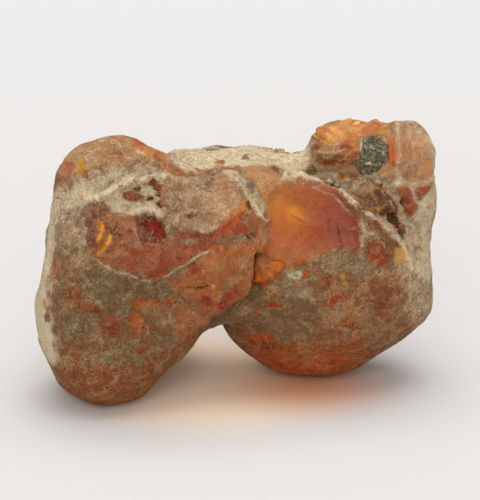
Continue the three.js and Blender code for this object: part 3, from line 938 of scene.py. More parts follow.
# %%
# Pit and crease
PIT = [(3.1, -0.7), (4.5, -1.2), (6, -2.2), (7.4, -2.7), (6.6, -4.4), (5.5, -5.2), (4.8, -6.6), (3.8, -7.4),
       (2.9, -7.2), (2.4, -5.5), (2.7, -3)]
lay(front.area(PIT, soft=0.8, ragged=0.3), lift=-1.3)
lay(front.area(PIT, soft=0.3, ragged=0.3), **resin("b4662e", 0.04, 0.4))
lay_lines(
    front,
    ([(3.3, -1), (2.9, -2.6), (2.7, -4), (2.5, -5.6), (2.9, -7)], 0.5, resin("4a2410", 0.05, 0.0, pale=0.0)),
    ([(2.9, -7), (1.4, -8.6), (-0.6, -9.8), (-2.4, -11.2), (-4, -12.4)], 1.0,
     dirt(0.0, 0.75, tint="4e3c28", lift=-1.5)),
)
lay_spots(
    front,
    ((6.1, -2.9), (1.0, 0.7), -20, resin("f49434", 0.0, 0.4)),
    ((5.4, -4), (0.8, 0.7), 0, resin("d47a30", 0.0, 0.4)),
    ((3.4, -5.6), (0.7, 0.6), 0, resin("e0661c", 0.0, 0.6)),
    ((4.1, -6.4), (0.7, 0.7), 0, resin("a8401c", 0.0, 0.5)),
)
tell("pit and crease")

# %% [markdown]
# ## The gully
# Behind the window ridge a dirty gully runs down to the right, with loose-looking splinters of darker
# resin caught in it.

# %%
# Gully, fragment and splinters
GULLY = [(9.6, 13.4), (13, 13.4), (16, 13), (19.4, 12.2), (23, 12), (25.6, 10.6), (27.6, 8), (28.6, 5.6),
         (30.6, 4), (30.6, -2), (29, -1.6), (27, 1.6), (24, 4.4), (20, 8), (17, 11), (14, 12.4), (10, 12.9)]
lay_areas(
    front,
    (GULLY, 0.4, 0.6, dirt(0.95, 0.86, tint="a87c5c", lift=-0.5)),
    ([(28.4, 4.6), (31.4, 9), (34, 8), (34, -6), (29.4, -4), (29, 0)], 0.8, 0.5, dirt(0.78, 0.92)),
    (FRAGMENT, 0.3, 0.2, resin("7c5454", 0.06, 0.3)),
    # The fragment's pale upper facet is a painted highlight where light falls on its top.
    ([(19.6, 9.6), (20.6, 11.3), (22.1, 11.8), (24, 10.8), (22.4, 9.8), (20.6, 9)], 0.4, 0.3,
     resin("b09088", 0.25, 0.2, pale=0.8)),
    # The dark resin along the fragment's lower side is painted shadow beneath it.
    ([(21.6, 7), (25.4, 7), (26.8, 6.2), (25.4, 5.4), (23.8, 6), (22.1, 6.4)], 0.3, 0.2,
     resin("46160e", 0.0, 0.4)),
    (SPLINTER, 0.3, 0.2, resin("7a2a14", 0.0, 0.5)),
    ([(26.6, 10.8), (28.4, 10.6), (29.2, 8.4), (30, 7.4), (29, 6), (28, 6.8), (27.4, 8.6)], 0.4, 0.3,
     resin("a4502c", 0.08, 0.4, lift=0.5)),
    ([(29.4, 9.8), (31, 11.2), (32.4, 11.5), (31.6, 9.9), (30.2, 8.6)], 0.3, 0.3,
     resin("9e4c30", 0.0, 0.4, lift=0.9)),
)
lay_crests(
    front,
    ([(24.2, 11), (26.1, 8.9), (27.4, 7.2), (27.2, 5.6), (25.6, 5.1)], 0.4, dirt(0.9, 0.9, lift=0.4)),
    ([(24, 10), (25, 8.4), (26, 7.2)], 0.3, dirt(0.9, 0.6, lift=0.2)),
    ([(18.4, 10.9), (19.2, 12), (20.6, 12.4)], 0.5, resin("a85c3c", 0.1, 0.3, lift=0.4)),
)
lay_spots(
    front,
    # The bright yellow oval on the next line is a painted glint on the fragment.
    ((20.8, 7.2), (0.9, 0.5), -40, dirt(0.0, 0.9)), ((23.3, 6.9), (0.9, 0.28), -5, resin("ffc83c", 0.0, 0.3)),
    ((17.6, 12.6), (1.3, 0.5), 15, resin("c8903c", 0.1, 0.4)), ((12.2, 13.4), (0.9, 0.5), 0, dirt(0.0, 0.8)),
    ((20.8, 13.6), (1.1, 0.5), -15, resin("4e2416")),
    ((26.1, 12.7), (0.9, 1.1), 20, resin("c48c3c", 0.1, 0.5)),
    # The second oval on the next line, under the fragment, is painted shadow.
    ((27.3, 8.3), (0.4, 0.6), 0, resin("30180e")), ((26.4, 4.9), (1.3, 0.6), -35, resin("3a1810", lift=-0.5)),
    ((27.6, 2.4), (1.0, 0.5), -40, resin("44200f", 0.1, lift=-0.4)),
    ((15.6, 13.4), (1.5, 0.6), 0, dirt(0.8, 0.7)),
)
tell("gully")

# %% [markdown]
# ## The broken hump
# The hump has the freshest breaks. Amber breaks like glass, into shell-shaped scoops with sharp edges
# between them; tilting each cell of the cell noise its own way gives just that.

# %%
# Hump
CROWN = [(11.8, 18.8), (12.8, 21), (15, 22.6), (17, 23), (20, 23.4), (23, 22.8), (26, 22.4), (25.8, 19.8),
         (20.4, 19), (19.6, 18.7), (16, 18.4), (13, 18)]
RED_BAND = [(13.2, 15.6), (14.6, 14.4), (18, 14.6), (19.8, 15.6), (20.2, 18.6), (18, 18.8), (16, 17.4),
            (15.8, 16.4), (18.4, 16.2), (15, 16)]
COLUMNS = [(26.4, 22.4), (31, 21.6), (33.4, 18), (33.4, 12), (30.6, 10.9), (28.4, 11), (27, 12.4), (26.4, 15)]
lay_areas(
    front,
    ([(12, 18.8), (20.4, 19), (20.6, 13.6), (16, 13), (12, 14.6)], 0.5, 0.5,
     resin("ba9270", 0.34, 0.2, pale=0.75)),
    (CROWN, 0.4, 0.5, resin("be8040", 0.06, 0.8, pale=0.8)),
    (RED_BAND, 0.4, 0.5, resin("a04a2e", 0.06, 0.5)),
    ([(24.6, 19.6), (27, 18), (27, 12.4), (21, 12.6), (21.4, 13.6)], 0.6, 0.4,
     resin("b88460", 0.35, 0.2, pale=0.7)),
    (COLUMNS, 0.5, 0.3, resin("c49e90", 0.18, 0.25, pale=0.8)),
    ([(31, 22), (34.4, 20), (35, 8), (32.6, 9), (32.2, 17)], 0.8, 0.5, dirt(0.82, 0.75, tint="caa078")),
    ([(20.2, 19.1), (20.4, 20.8), (22.6, 21.8), (24.2, 21.4), (23, 19.7), (22, 19.2)], 0.3, 0.2,
     resin("bc7454", 0.04, 0.6, lift=0.3)),
)
lay_crests(
    front,
    ([(26.2, 15.2), (26.7, 13), (28, 11.4), (30, 10.9), (31.4, 11.4), (32.6, 12.4)], 0.55,
     dirt(0.9, 0.8, lift=0.6)),
    ([(20, 15.6), (20.8, 14.6), (21.6, 13.8)], 0.45, resin("c89a80", 0.2, 0.2, lift=0.5)),
    ([(26.6, 21.2), (27.2, 17.4), (27, 15)], 1.2, dict(lift=0.6)),
    ([(29, 21.4), (29.4, 16), (30.4, 11.6)], 1.4, dict(lift=0.6)),
    ([(31.4, 20.8), (32.1, 15), (31.8, 12)], 1.1, dict(lift=0.5)),
    ([(26.7, 21), (27.3, 17.4), (27.1, 15)], 0.35, dirt(0.95, 0.8)),
    ([(29.1, 21.2), (29.5, 16), (30.5, 11.6)], 0.3, resin("dcb498", 0.2, 0.3, pale=0.9)),
    ([(13, 16.8), (15.4, 16.5), (18, 16.9)], 0.5, dirt(0.9, 0.6, lift=0.4)),
    ([(12.6, 14.6), (13.4, 16.4), (13, 18)], 0.5, dirt(0.9, 0.6, lift=0.4)),
)
lay_spots(
    front,
    # The next three ovals are painted highlights and glints on the crown's facets.
    ((15.7, 20.9), (1.3, 0.35), -35, resin("e8b040", 0.0, 0.9)),
    ((20, 21.9), (1.5, 0.4), 20, resin("f0b868", 0.0, 0.9)),
    ((15.6, 19.4), (0.9, 0.6), 0, resin("e8ac78", 0.0, 0.8)),
    ((17.8, 20.5), (1.4, 0.7), 0, resin("d89660", 0.03, 0.8)),
    ((13.8, 20), (1.2, 0.8), 0, resin("b8732c", 0.0, 0.8)),
    ((24.7, 20.6), (1.1, 0.8), 0, resin("bc883a", 0.04, 0.6)),
    ((12.9, 17.4), (0.7, 0.5), 20, resin("8c4a2e", 0.0, 0.3)), ((19.6, 14.9), (1.0, 0.6), 0, dirt(0.05, 0.8)),
    ((25.7, 16.8), (0.75, 2.3), 4, resin("cc621c", 0.0, 0.9)),
    ((19.7, 17.6), (0.7, 0.9), 0, resin("c4521c", 0.0, 0.7)),
    ((28, 18), (0.8, 3), 4, resin("b88a78", 0.08, 0.35)),
    ((30.6, 16), (0.9, 3.4), 0, resin("c8a294", 0.1, 0.3)),
    ((32, 14.6), (0.4, 0.8), 0, resin("d8a860", 0.0, 0.5)), ((22, 12.4), (2.4, 0.6), 0, dirt(0.7, 0.6)),
)
REAR_RIM = [(-12.6, 16.4), (-9, 13.4), (-4, 14.2), (0, 14.6), (5, 14.6), (9.4, 13.4), (12, 15),
            (12.4, 18.6), (-12, 18.6)]
lay_areas(front, (REAR_RIM, 0.5, 0.5, dirt(0.9, 1.0, tint="b09070")))
lay_spots(front, ((-3.4, 15), (0.9, 0.4), 0, resin("b06040")), ((9, 14.2), (2.4, 1.2), 0, dirt(1.0, 1.0)),
          ((1, 15.6), (0.6, 0.3), 0, dirt(0.2, 0.9)), ((-8, 16.4), (2.6, 0.5), 8, dirt(0.75, 0.9)))
for outline, share in ((CROWN, 1.0), (RED_BAND, 0.8), (GULLY, 0.7)):
    glassy_breaks = np.maximum(glassy_breaks, share * front.area(outline, soft=0.8))
print("glassy breaks cover", int((glassy_breaks > 0.5).sum()), "points")

# %% [markdown]
# ## Raise the relief, then the grain
# The relief that was gathered is raised in one go. Then comes what is too fine to draw: stepped flakes
# of crust, a slow swell and a rough grain, all of them kept off the glassy faces. The breaks that the
# front does not show are older, and their chips are larger.

# %%
# Raise and roughen
skin.raise_by(relief)
points = skin.points.copy()
hidden = front.shown < 0.01
chips, large_chips = cells(points, SMALL_CHIPS)[1:], cells(points, LARGE_CHIPS, 1)[1:]
for values, large_values in zip(chips, large_chips):
    values[hidden] = large_values[hidden]
edge, way, luck = chips
tilted = np.clip(0.9 * ((luck - 0.5) * way).sum(1), -0.7, 0.7)
flutes = np.abs(np.sin(front.place[:, 0] * 1.5 + 1.3 * noise(points, 4)))
skin.raise_by(glassy_breaks * tilted + 0.08 * front.area(COLUMNS, soft=0.8) * (flutes - 0.6))

paint["tint"] *= 1 + (0.5 * glassy_breaks * (luck[:, 0] - 0.45))[:, None]
# Pale gold lines along the chip edges of the glassy breaks are painted highlights on the sharp edges.
lay(glassy_breaks * np.exp(-((edge / 0.16) ** 2)), strength=0.7, tint="f0c890", dust=0.15, pale=1.0)
calm = np.clip(1.3 * paint["glass"], 0, 1)
crusty = (1 - calm) * ease(0.3, 0.8, paint["dust"])
lobes = ease(27, 18, points[:, 2])
flakes = np.round(rough_noise(points, 4.2, 5, 4) * 5) / 5
grain = rough_noise(points, 1.6, 1, 3)
swell = rough_noise(points, 6.0, 2, 2)
skin.raise_by((1 - calm) * (0.2 * swell + 0.13 * grain) + crusty * (0.34 - 0.2 * lobes) * flakes
              + calm * 0.06 * swell)
print("the relief runs from", round(float(relief.min()), 1), "to", round(float(relief.max()), 1), "mm")

# %% [markdown]
# ## Blotches, crackle and settled dust
# Small blotches break up every listed area, fine cracks run over the rubbed bellies, and dust
# collects in every dip. A dip is where a point lies below the average of its neighbours.

# %%
# Finish the paint
blotch = noise(points, 1.1, 8) * 0.6 + noise(points, 0.55, 9) * 0.5
plain_skin = (1 - np.clip(paint["glass"] * 1.6, 0, 1)) * ease(0.08, 0.35, paint["dust"])
relief[:] = 0
lay(ease(0.42, 0.62, blotch) * plain_skin, strength=0.4, tint="96522e", dust=0.15)
lay(ease(0.42, 0.62, -blotch) * plain_skin, strength=0.4, dust=0.8)
gap = cells(points, 1.7, 2)[1]
crackle = np.exp(-((gap / 0.15) ** 2)) * ease(12, 5, points[:, 2]) * plain_skin
lay(crackle, lift=-0.12, strength=0.35, tint="b8925c", dust=0.35, pale=0.6)
skin.raise_by(relief)
skin.points[:, 2] = np.maximum(skin.points[:, 2], 0.0)
sag = np.clip(skin.spread(skin.points, 5) - skin.points, -1, 1)
dip = (sag * skin.normals()).sum(1)
lay(ease(0.02, 0.1, dip) * plain_skin, strength=0.45, dust=0.85)
lay(ease(-0.02, -0.1, dip) * plain_skin, strength=0.3, dust=0.15)
print("dips reach", round(float(dip.max()), 2), "mm deep")

# %% [markdown]
# A material can read numbers that are stored point by point on the mesh, as attributes. The four paint
# layers go there, and the material mixes its colours from them.

# %%
# Store the layers on the mesh
skin.write()
for name in ("dust", "pale", "glass"):
    layer = amber.data.attributes.new(name, "FLOAT", "POINT")
    layer.data.foreach_set("value", np.clip(paint[name], 0, 1).astype(np.float32))
layer = amber.data.attributes.new("tint", "FLOAT_COLOR", "POINT")
opaque = np.column_stack([np.clip(paint["tint"], 0, 1), np.ones(len(points))])
layer.data.foreach_set("color", opaque.astype(np.float32).ravel())
print("glassy share of the skin:", round(float((paint["glass"] > 0.5).mean()), 3))

# %% [markdown]
# ## The amber's material
# One Principled shader makes the whole skin. Its transmission lets light into the glassy breaks, the
# index of refraction of amber is 1.54, and the absorption colours the light more the deeper it goes.

# %%
# Node helpers


def set_socket(tree, socket, value):
    """Links a socket to another node's output, or sets it to a plain value."""
    if isinstance(value, bpy.types.NodeSocket):
        tree.links.new(value, socket)
    elif value is not None:
        socket.default_value = value


class Nodes:
    """Builds a material's node tree with short calls."""

    def __init__(self, name):
        self.material = bpy.data.materials.new(name)
        self.material.use_nodes = True
        self.tree = self.material.node_tree
        self.shader = self.tree.nodes["Principled BSDF"]

    def feed(self, socket, value):
        set_socket(self.tree, socket, value)

    def math(self, operation, a, b=None, c=None):
        node = self.tree.nodes.new("ShaderNodeMath")
        node.operation = operation
        for socket, value in zip(node.inputs, (a, b, c)):
            self.feed(socket, value)
        return node.outputs[0]

    def mix(self, share, a, b, blend="MIX"):
        node = self.tree.nodes.new("ShaderNodeMix")
        node.data_type = "RGBA"
        node.blend_type = blend
        colours = [socket for socket in node.inputs if socket.type == "RGBA"]
        self.feed(node.inputs["Factor"], share)
        self.feed(colours[0], a)
        self.feed(colours[1], b)
        return next(socket for socket in node.outputs if socket.type == "RGBA")

    def layer(self, name, output="Fac"):
        node = self.tree.nodes.new("ShaderNodeAttribute")
        node.attribute_name = name
        return node.outputs[output]

    def noise(self, size, detail=2.0, roughness=0.55, shift=0.0, curl=0.0):
        """Noise from 0 to 1 with bumps about size millimetres wide, drawn out into fibres by the curl."""
        place = self.tree.nodes.new("ShaderNodeTexCoord").outputs["Object"]
        node = self.tree.nodes.new("ShaderNodeTexNoise")
        node.noise_dimensions = "4D"
        self.feed(node.inputs["Vector"], place)
        node.inputs["W"].default_value = shift
        node.inputs["Scale"].default_value = 1 / (size * MM)
        node.inputs["Detail"].default_value = detail
        node.inputs["Roughness"].default_value = roughness
        node.inputs["Distortion"].default_value = curl
        return node.outputs[0]

    def ease(self, low, high, value):
        node = self.tree.nodes.new("ShaderNodeMapRange")
        node.interpolation_type = "SMOOTHSTEP"
        self.feed(node.inputs["Value"], value)
        node.inputs["From Min"].default_value = low
        node.inputs["From Max"].default_value = high
        return node.outputs["Result"]

    def cracks(self, size, width, warp, shift):
        """A net of thin lines about size millimetres apart, 1 on a line, that fades out in places."""
        place = self.tree.nodes.new("ShaderNodeTexCoord").outputs["Object"]
        stirring = self.tree.nodes.new("ShaderNodeTexNoise")
        stirring.inputs["Scale"].default_value = 1 / (size * MM)
        stirring.inputs["Detail"].default_value = 3.0
        self.feed(stirring.inputs["Vector"], place)
        moved = self.tree.nodes.new("ShaderNodeVectorMath")
        moved.operation = "MULTIPLY_ADD"
        self.feed(moved.inputs[0], stirring.outputs["Color"])
        moved.inputs[1].default_value = (warp * MM,) * 3
        self.feed(moved.inputs[2], place)
        net = self.tree.nodes.new("ShaderNodeTexVoronoi")
        net.feature = "DISTANCE_TO_EDGE"
        net.inputs["Scale"].default_value = 1 / (size * MM)
        self.feed(net.inputs["Vector"], moved.outputs[0])
        thin = self.ease(width / size, 0.0, net.outputs["Distance"])
        return self.math("MULTIPLY", thin, self.ease(0.42, 0.6, self.noise(1.4, 2.0, 0.6, shift)))

    def stir(self, value, *parts):
        """Adds noises to a value, each given with the most that it may add or take away."""
        for source, swing in parts:
            value = self.math("ADD", value, self.math("MULTIPLY_ADD", source, 2 * swing, -swing))
        return value

    def bump(self, height, distance, strength=1.0):
        node = self.tree.nodes.new("ShaderNodeBump")
        node.inputs["Distance"].default_value = distance * MM
        node.inputs["Strength"].default_value = strength
        self.feed(node.inputs["Height"], height)
        self.feed(self.shader.inputs["Normal"], node.outputs[0])


print("node helpers:", ", ".join(name for name in vars(Nodes) if not name.startswith("_")))

# %% [markdown]
# The paint layers are too coarse to show single grains, so four noises of different sizes stir them.
# Where the stirred dust is high the grain of dust covers the resin, and where it is low resin shows.

# %%
# Amber skin
look = Nodes("amber_skin")
grain_noise = look.ease(0.34, 0.66, look.noise(0.5, 3.0, 0.7, curl=2.5))
second_grain = look.ease(0.34, 0.66, look.noise(0.6, 3.0, 0.7, shift=2.0, curl=2.0))
mottle = look.ease(0.36, 0.64, look.noise(1.3, 3.0, 0.6, shift=3.0, curl=1.5))
shade = look.ease(0.34, 0.66, look.noise(2.6, 3.0, 0.6, shift=6.0, curl=1.0))
dust, pale, glass = look.layer("dust"), look.layer("pale"), look.layer("glass")
cover = look.ease(0.05, 0.95, look.stir(dust, (grain_noise, 0.28), (mottle, 0.18)))
cover = look.math("MULTIPLY", cover, look.ease(0.0, 0.12, dust))
paleness = look.ease(0.0, 1.0, look.stir(pale, (shade, 0.14), (second_grain, 0.18)))
dust_colour = look.mix(paleness, rgba("826c4c"), rgba("e2cfac"))
tint = look.mix(1.0, look.layer("tint", "Color"), rgba("ffeab6"), "MULTIPLY")
still = look.math("MULTIPLY_ADD", glass, -0.75, 1.0)
deep = look.mix(1.0, tint, rgba("bc8c72"), "MULTIPLY")
light = look.mix(0.3, tint, rgba("d8aa74"))
deep_share = look.math("MULTIPLY", look.ease(0.45, 1.0, look.stir(mottle, (second_grain, 0.25))), still)
tint = look.mix(deep_share, tint, deep)
light_share = look.math("MULTIPLY", look.ease(0.45, 1.0, look.stir(shade, (grain_noise, 0.45))), still)
tint = look.mix(light_share, tint, light)
skin_colour = look.mix(look.math("MULTIPLY", cover, 0.92), tint, dust_colour)
print("grain and mottle take", len(look.tree.nodes), "nodes")

# %% [markdown]
# Over that go two nets of fine cracks, dark ones filled with dirt and pale ones where the crust parted,
# and small dark flecks. All of them fade on the glassy faces.

# %%
# Cracks and flecks
dark_cracks = look.math("MULTIPLY", look.cracks(0.9, 0.07, 1.2, 9.0),
                        look.math("MULTIPLY_ADD", paleness, -0.5, 0.55))
skin_colour = look.mix(look.math("MULTIPLY", dark_cracks, still), skin_colour, rgba("4c301c"))
pale_cracks = look.math("MULTIPLY", look.cracks(1.5, 0.09, 1.6, 13.0),
                        look.math("MULTIPLY_ADD", cover, -0.35, 0.45))
skin_colour = look.mix(look.math("MULTIPLY", pale_cracks, still), skin_colour, rgba("cfae80"))
fleck = look.ease(0.3, 0.6, look.noise(0.36, 2.0, 0.7, shift=17.0, curl=2.5))
fleck_depth = look.math("MULTIPLY", look.math("MULTIPLY_ADD", still, 0.38, 0.06),
                        look.math("MULTIPLY_ADD", paleness, -0.6, 1.1))
dark_fleck = look.math("MULTIPLY", look.math("SUBTRACT", 1.0, fleck), fleck_depth)
skin_colour = look.mix(dark_fleck, skin_colour, rgba("3a2416"))
print("cracks and flecks bring them to", len(look.tree.nodes))

# %% [markdown]
# What is bare and glassy is smooth and lets light in. What dust covers is rough and keeps it out.

# %%
# The shader's values
bare = look.math("SUBTRACT", 1.0, cover)
polish = look.math("MULTIPLY", glass, bare)
look.feed(look.shader.inputs["Base Color"], skin_colour)
look.feed(look.shader.inputs["Roughness"],
          look.math("MULTIPLY_ADD", polish, -0.4, look.math("MULTIPLY_ADD", cover, 0.25, 0.55)))
look.feed(look.shader.inputs["Transmission Weight"], look.math("MULTIPLY", polish, 0.35))
look.shader.inputs["IOR"].default_value = 1.54
look.shader.inputs["Specular IOR Level"].default_value = 0.07
look.shader.inputs["Subsurface Weight"].default_value = 0.25
look.shader.inputs["Subsurface Radius"].default_value = (1.0, 0.32, 0.12)
look.shader.inputs["Subsurface Scale"].default_value = 1.8 * MM
uneven = look.math("MULTIPLY", second_grain, look.math("MULTIPLY_ADD", polish, -0.85, 0.9))
look.bump(look.math("MULTIPLY_ADD", cover, 0.45, uneven), 0.22, 1.0)
absorb = look.tree.nodes.new("ShaderNodeVolumeAbsorption")
absorb.inputs["Color"].default_value = (0.97, 0.66, 0.08, 1.0)
absorb.inputs["Density"].default_value = 480.0
look.feed(look.tree.nodes["Material Output"].inputs["Volume"], absorb.outputs[0])
amber.data.materials.append(look.material)
print("the skin's material has", len(look.tree.nodes), "nodes")

# %% [markdown]
# ## The grit plug
# Sand and clay washed into a round pit and set hard. Its face is a crust of grains, so the fine copy
# of the plug is covered with small cells, each a grain that stands up on its own.

# %%
# Grit plug
plug = fine_copy("grit_plug", "grit_plug_face", PLUG_SPACING, 4)
plug.data.shade_smooth()
plug_skin = Skin(plug)
near, _, _, luck = cells(plug_skin.points, 0.9)
near_small = cells(plug_skin.points, 0.4, 3)[0]
lumps = 0.3 * ease(0.6, 0.0, near) * (0.3 + luck[:, 0]) + 0.12 * ease(0.32, 0.0, near_small)
plug_skin.raise_by(0.12 + lumps + 0.3 * rough_noise(plug_skin.points, 1.5, 6))
plug_skin.write()


def grit_material(name, dark, middle, pale):
    look = Nodes(name)
    grit_grain = look.ease(0.36, 0.64, look.noise(0.5, 3.0, 0.7))
    tone = look.mix(grit_grain, rgba(dark), rgba(middle))
    look.feed(look.shader.inputs["Base Color"],
              look.mix(look.ease(0.56, 0.7, look.noise(1.1, 2, 0.6, 4.0)), tone, rgba(pale)))
    look.shader.inputs["Roughness"].default_value = 0.92
    look.shader.inputs["Specular IOR Level"].default_value = 0.2
    look.bump(grit_grain, 0.15, 0.9)
    return look.material


grit = grit_material("grit", "3c3628", "7c7258", "aea284")
plug.data.materials.append(grit)
print("the plug's face has", len(plug_skin.points), "points")

# %% [markdown]
# ## Loose grains and sealed-in flakes
# Sand grains stick all over the dusty skin, and thin flakes float inside the clear resin. Both are one
# small shape scattered over a surface, which is what Geometry Nodes are for. One tree does both: its
# inputs say how many, how large, how flat, and how deep below the surface.

# %%
# The scatter tree


def scatter_tree():
    tree = bpy.data.node_groups.new("scatter", "GeometryNodeTree")
    kinds = {"Geometry": "Geometry", "Where": "String", "Per Square Millimetre": "Float", "Smallest": "Float",
             "Largest": "Float", "Flatness": "Float", "Shallowest": "Float", "Deepest": "Float",
             "Seed": "Int", "Material": "Material"}
    for name, kind in kinds.items():
        tree.interface.new_socket(name, in_out="INPUT", socket_type="NodeSocket" + kind)
    tree.interface.new_socket("Geometry", in_out="OUTPUT", socket_type="NodeSocketGeometry")
    given = tree.nodes.new("NodeGroupInput").outputs

    def node(kind, **inputs):
        made = tree.nodes.new(kind)
        for name, value in inputs.items():
            set_socket(tree, next(s for s in made.inputs if s.name == name and s.enabled), value)
        return made

    def times(a, b):
        made = tree.nodes.new("ShaderNodeMath")
        made.operation = "MULTIPLY"
        set_socket(tree, made.inputs[0], a)
        set_socket(tree, made.inputs[1], b)
        return made.outputs[0]

    where = node("GeometryNodeInputNamedAttribute", Name=given["Where"]).outputs[0]
    density = times(times(where, given["Per Square Millimetre"]), 1 / MM ** 2)
    spread = node("GeometryNodeDistributePointsOnFaces", Mesh=given["Geometry"], Density=density,
                  Seed=given["Seed"])
    depth = node("FunctionNodeRandomValue", Min=given["Shallowest"], Max=given["Deepest"], Seed=given["Seed"])
    inward = tree.nodes.new("ShaderNodeVectorMath")
    inward.operation = "SCALE"
    tree.links.new(spread.outputs["Normal"], inward.inputs[0])
    tree.links.new(times(depth.outputs[1], -MM), inward.inputs["Scale"])
    sunk = node("GeometryNodeSetPosition", Geometry=spread.outputs["Points"], Offset=inward.outputs[0])
    ball = node("GeometryNodeMeshIcoSphere", Radius=MM, Subdivisions=1)
    flat = node("ShaderNodeCombineXYZ", X=1.0, Y=0.8, Z=given["Flatness"])
    shape = node("GeometryNodeTransform", Geometry=ball.outputs[0], Scale=flat.outputs[0])
    size = node("FunctionNodeRandomValue", Min=given["Smallest"], Max=given["Largest"], Seed=given["Seed"])
    spin = node("FunctionNodeRotateRotation", Rotation=spread.outputs["Rotation"])
    spin.rotation_space = "LOCAL"
    turn = tree.nodes.new("FunctionNodeRandomValue")
    turn.data_type = "FLOAT_VECTOR"
    turn.inputs[0].default_value = (-0.5, -0.5, -3.1)
    turn.inputs[1].default_value = (0.5, 0.5, 3.1)
    tree.links.new(turn.outputs[0], spin.inputs["Rotate By"])
    placed = node("GeometryNodeInstanceOnPoints", Points=sunk.outputs[0], Instance=shape.outputs[0],
                  Rotation=spin.outputs[0], Scale=size.outputs[1])
    real = node("GeometryNodeRealizeInstances", Geometry=placed.outputs[0])
    done = node("GeometryNodeSetMaterial", Geometry=real.outputs[0], Material=given["Material"])
    tree.links.new(done.outputs[0], tree.nodes.new("NodeGroupOutput").inputs[0])
    return tree


scatter_nodes = scatter_tree()
print("the scatter tree has", len(scatter_nodes.nodes), "nodes")

# %% [markdown]
# Sand sits only where the skin is dusty, in clumps. What the tree makes is kept as a plain mesh, so
# that every grain and flake is there without the tree.

# %%
# Scatter


def scatter(name, surface, material, **inputs):
    """Runs the tree on a surface and keeps what it made as a plain mesh."""
    piece = bpy.data.objects.new(name, surface.data)
    bpy.context.scene.collection.objects.link(piece)
    modifier = piece.modifiers.new("scatter", "NODES")
    modifier.node_group = scatter_nodes
    inputs["Material"] = material
    for socket in scatter_nodes.interface.items_tree:
        if socket.in_out == "INPUT" and socket.name in inputs:
            modifier[socket.identifier] = inputs[socket.name]
    ready = piece.evaluated_get(bpy.context.evaluated_depsgraph_get())
    mesh = bpy.data.meshes.new_from_object(ready)
    piece.modifiers.clear()
    piece.data = mesh
    laid = ("dust", "pale", "glass", "tint", "sandy", "clear")
    for attribute in [a.name for a in mesh.attributes if a.name in laid]:
        mesh.attributes.remove(mesh.attributes[attribute])
    print(name, "has", len(mesh.polygons), "faces")
    return piece


def keep_layer(piece, name, values):
    layer = piece.data.attributes.new(name, "FLOAT", "POINT")
    layer.data.foreach_set("value", np.clip(values, 0, 1).astype(np.float32))


clumps = ease(-0.1, 0.5, noise(skin.points, 2.6, 12))
sandy = ease(0.5, 0.95, paint["dust"]) * (0.25 + 0.75 * clumps) * (0.3 + 0.7 * paint["pale"])
keep_layer(amber, "sandy", sandy)
keep_layer(amber, "clear", ease(0.75, 0.95, paint["glass"]))
keep_layer(plug, "sandy", ease(0.0, -0.3, plug_skin.normals()[:, 1]))
sand = scatter("sand_grains", amber, grit_material("sand", "8a7550", "b8a276", "dcc9a0"), Where="sandy",
               **{"Per Square Millimetre": 2.4}, Smallest=0.07, Largest=0.2, Flatness=0.7, Shallowest=-0.03,
               Deepest=0.06, Seed=SEED)
crumbs = scatter("plug_crumbs", plug, grit, Where="sandy", **{"Per Square Millimetre": 9.0}, Smallest=0.1,
                 Largest=0.26, Flatness=0.8, Shallowest=-0.05, Deepest=0.1, Seed=SEED + 1)

# %% [markdown]
# The flakes inside are tiny flat cracks that resin gets when it warms and cools, called sun spangles.
# They sit one to three millimetres under the clear faces, where they glint like gold leaf.

# %%
# Spangles
spangle_look = Nodes("spangle")
spangle_look.shader.inputs["Roughness"].default_value = 0.25
spangle_look.shader.inputs["Metallic"].default_value = 0.3
gold = spangle_look.mix(spangle_look.ease(0.4, 0.6, spangle_look.noise(2.0)), rgba("f6c05c"), rgba("d4702a"))
spangle_look.feed(spangle_look.shader.inputs["Base Color"], gold)
spangles = scatter("sealed_spangles", amber, spangle_look.material, Where="clear",
                   **{"Per Square Millimetre": 0.16}, Smallest=0.25, Largest=0.8, Flatness=0.06,
                   Shallowest=1.0, Deepest=2.6, Seed=SEED + 2)
for name in ("sandy", "clear"):
    amber.data.attributes.remove(amber.data.attributes[name])
plug.data.attributes.remove(plug.data.attributes["sandy"])

# %% [markdown]
# ## Stage, light and camera
# The lump stands on a pale sheet that curves up around it, under large soft lights. Amber lets warm
# light through to the floor below it. The skin here is only clear at its breaks, so the sheet is
# tinted under the lobes, in two soft patches, to stand for that glow.

# %%
# Stage


def sheet_grid():
    """The sheet's points, row by row: flat in the middle, and curving up behind, on the left and right."""
    reach, bend, top = 0.55, 0.35, 1.6
    arc = [(bend * math.sin(a), bend * (1 - math.cos(a))) for a in np.linspace(0, math.pi / 2, 24)]
    profile = [(-reach, 0.0), *arc, (bend, top)]
    around = [(math.cos(a), math.sin(a), 0.0) for a in np.linspace(0, math.pi, 49)]
    around = [(1.0, 0.0, -1.5), *around, (-1.0, 0.0, -1.5)]
    return [[(x * (reach + out), y * (reach + out) + near, z) for out, z in profile] for x, y, near in around]


grid = sheet_grid()
length = len(grid[0])
corners = [corner for row in grid for corner in row]
faces = [(k * length + m, k * length + m + 1, (k + 1) * length + m + 1, (k + 1) * length + m)
         for k in range(len(grid) - 1) for m in range(length - 1)]
sheet_mesh = bpy.data.meshes.new("sheet")
sheet_mesh.from_pydata(corners, [], faces)
sheet_mesh.shade_smooth()
sheet = bpy.data.objects.new("sheet", sheet_mesh)
bpy.context.scene.collection.objects.link(sheet)
print("the sheet has", len(faces), "faces")

# %% [markdown]
# The sheet is painted a shade darker near the lump, as painted shadow, and is lighter away from it.
# A wide pale warm patch under the arch is painted glow of the light the amber lets through, and a
# deeper orange one under the right lobe is painted warm shadow.

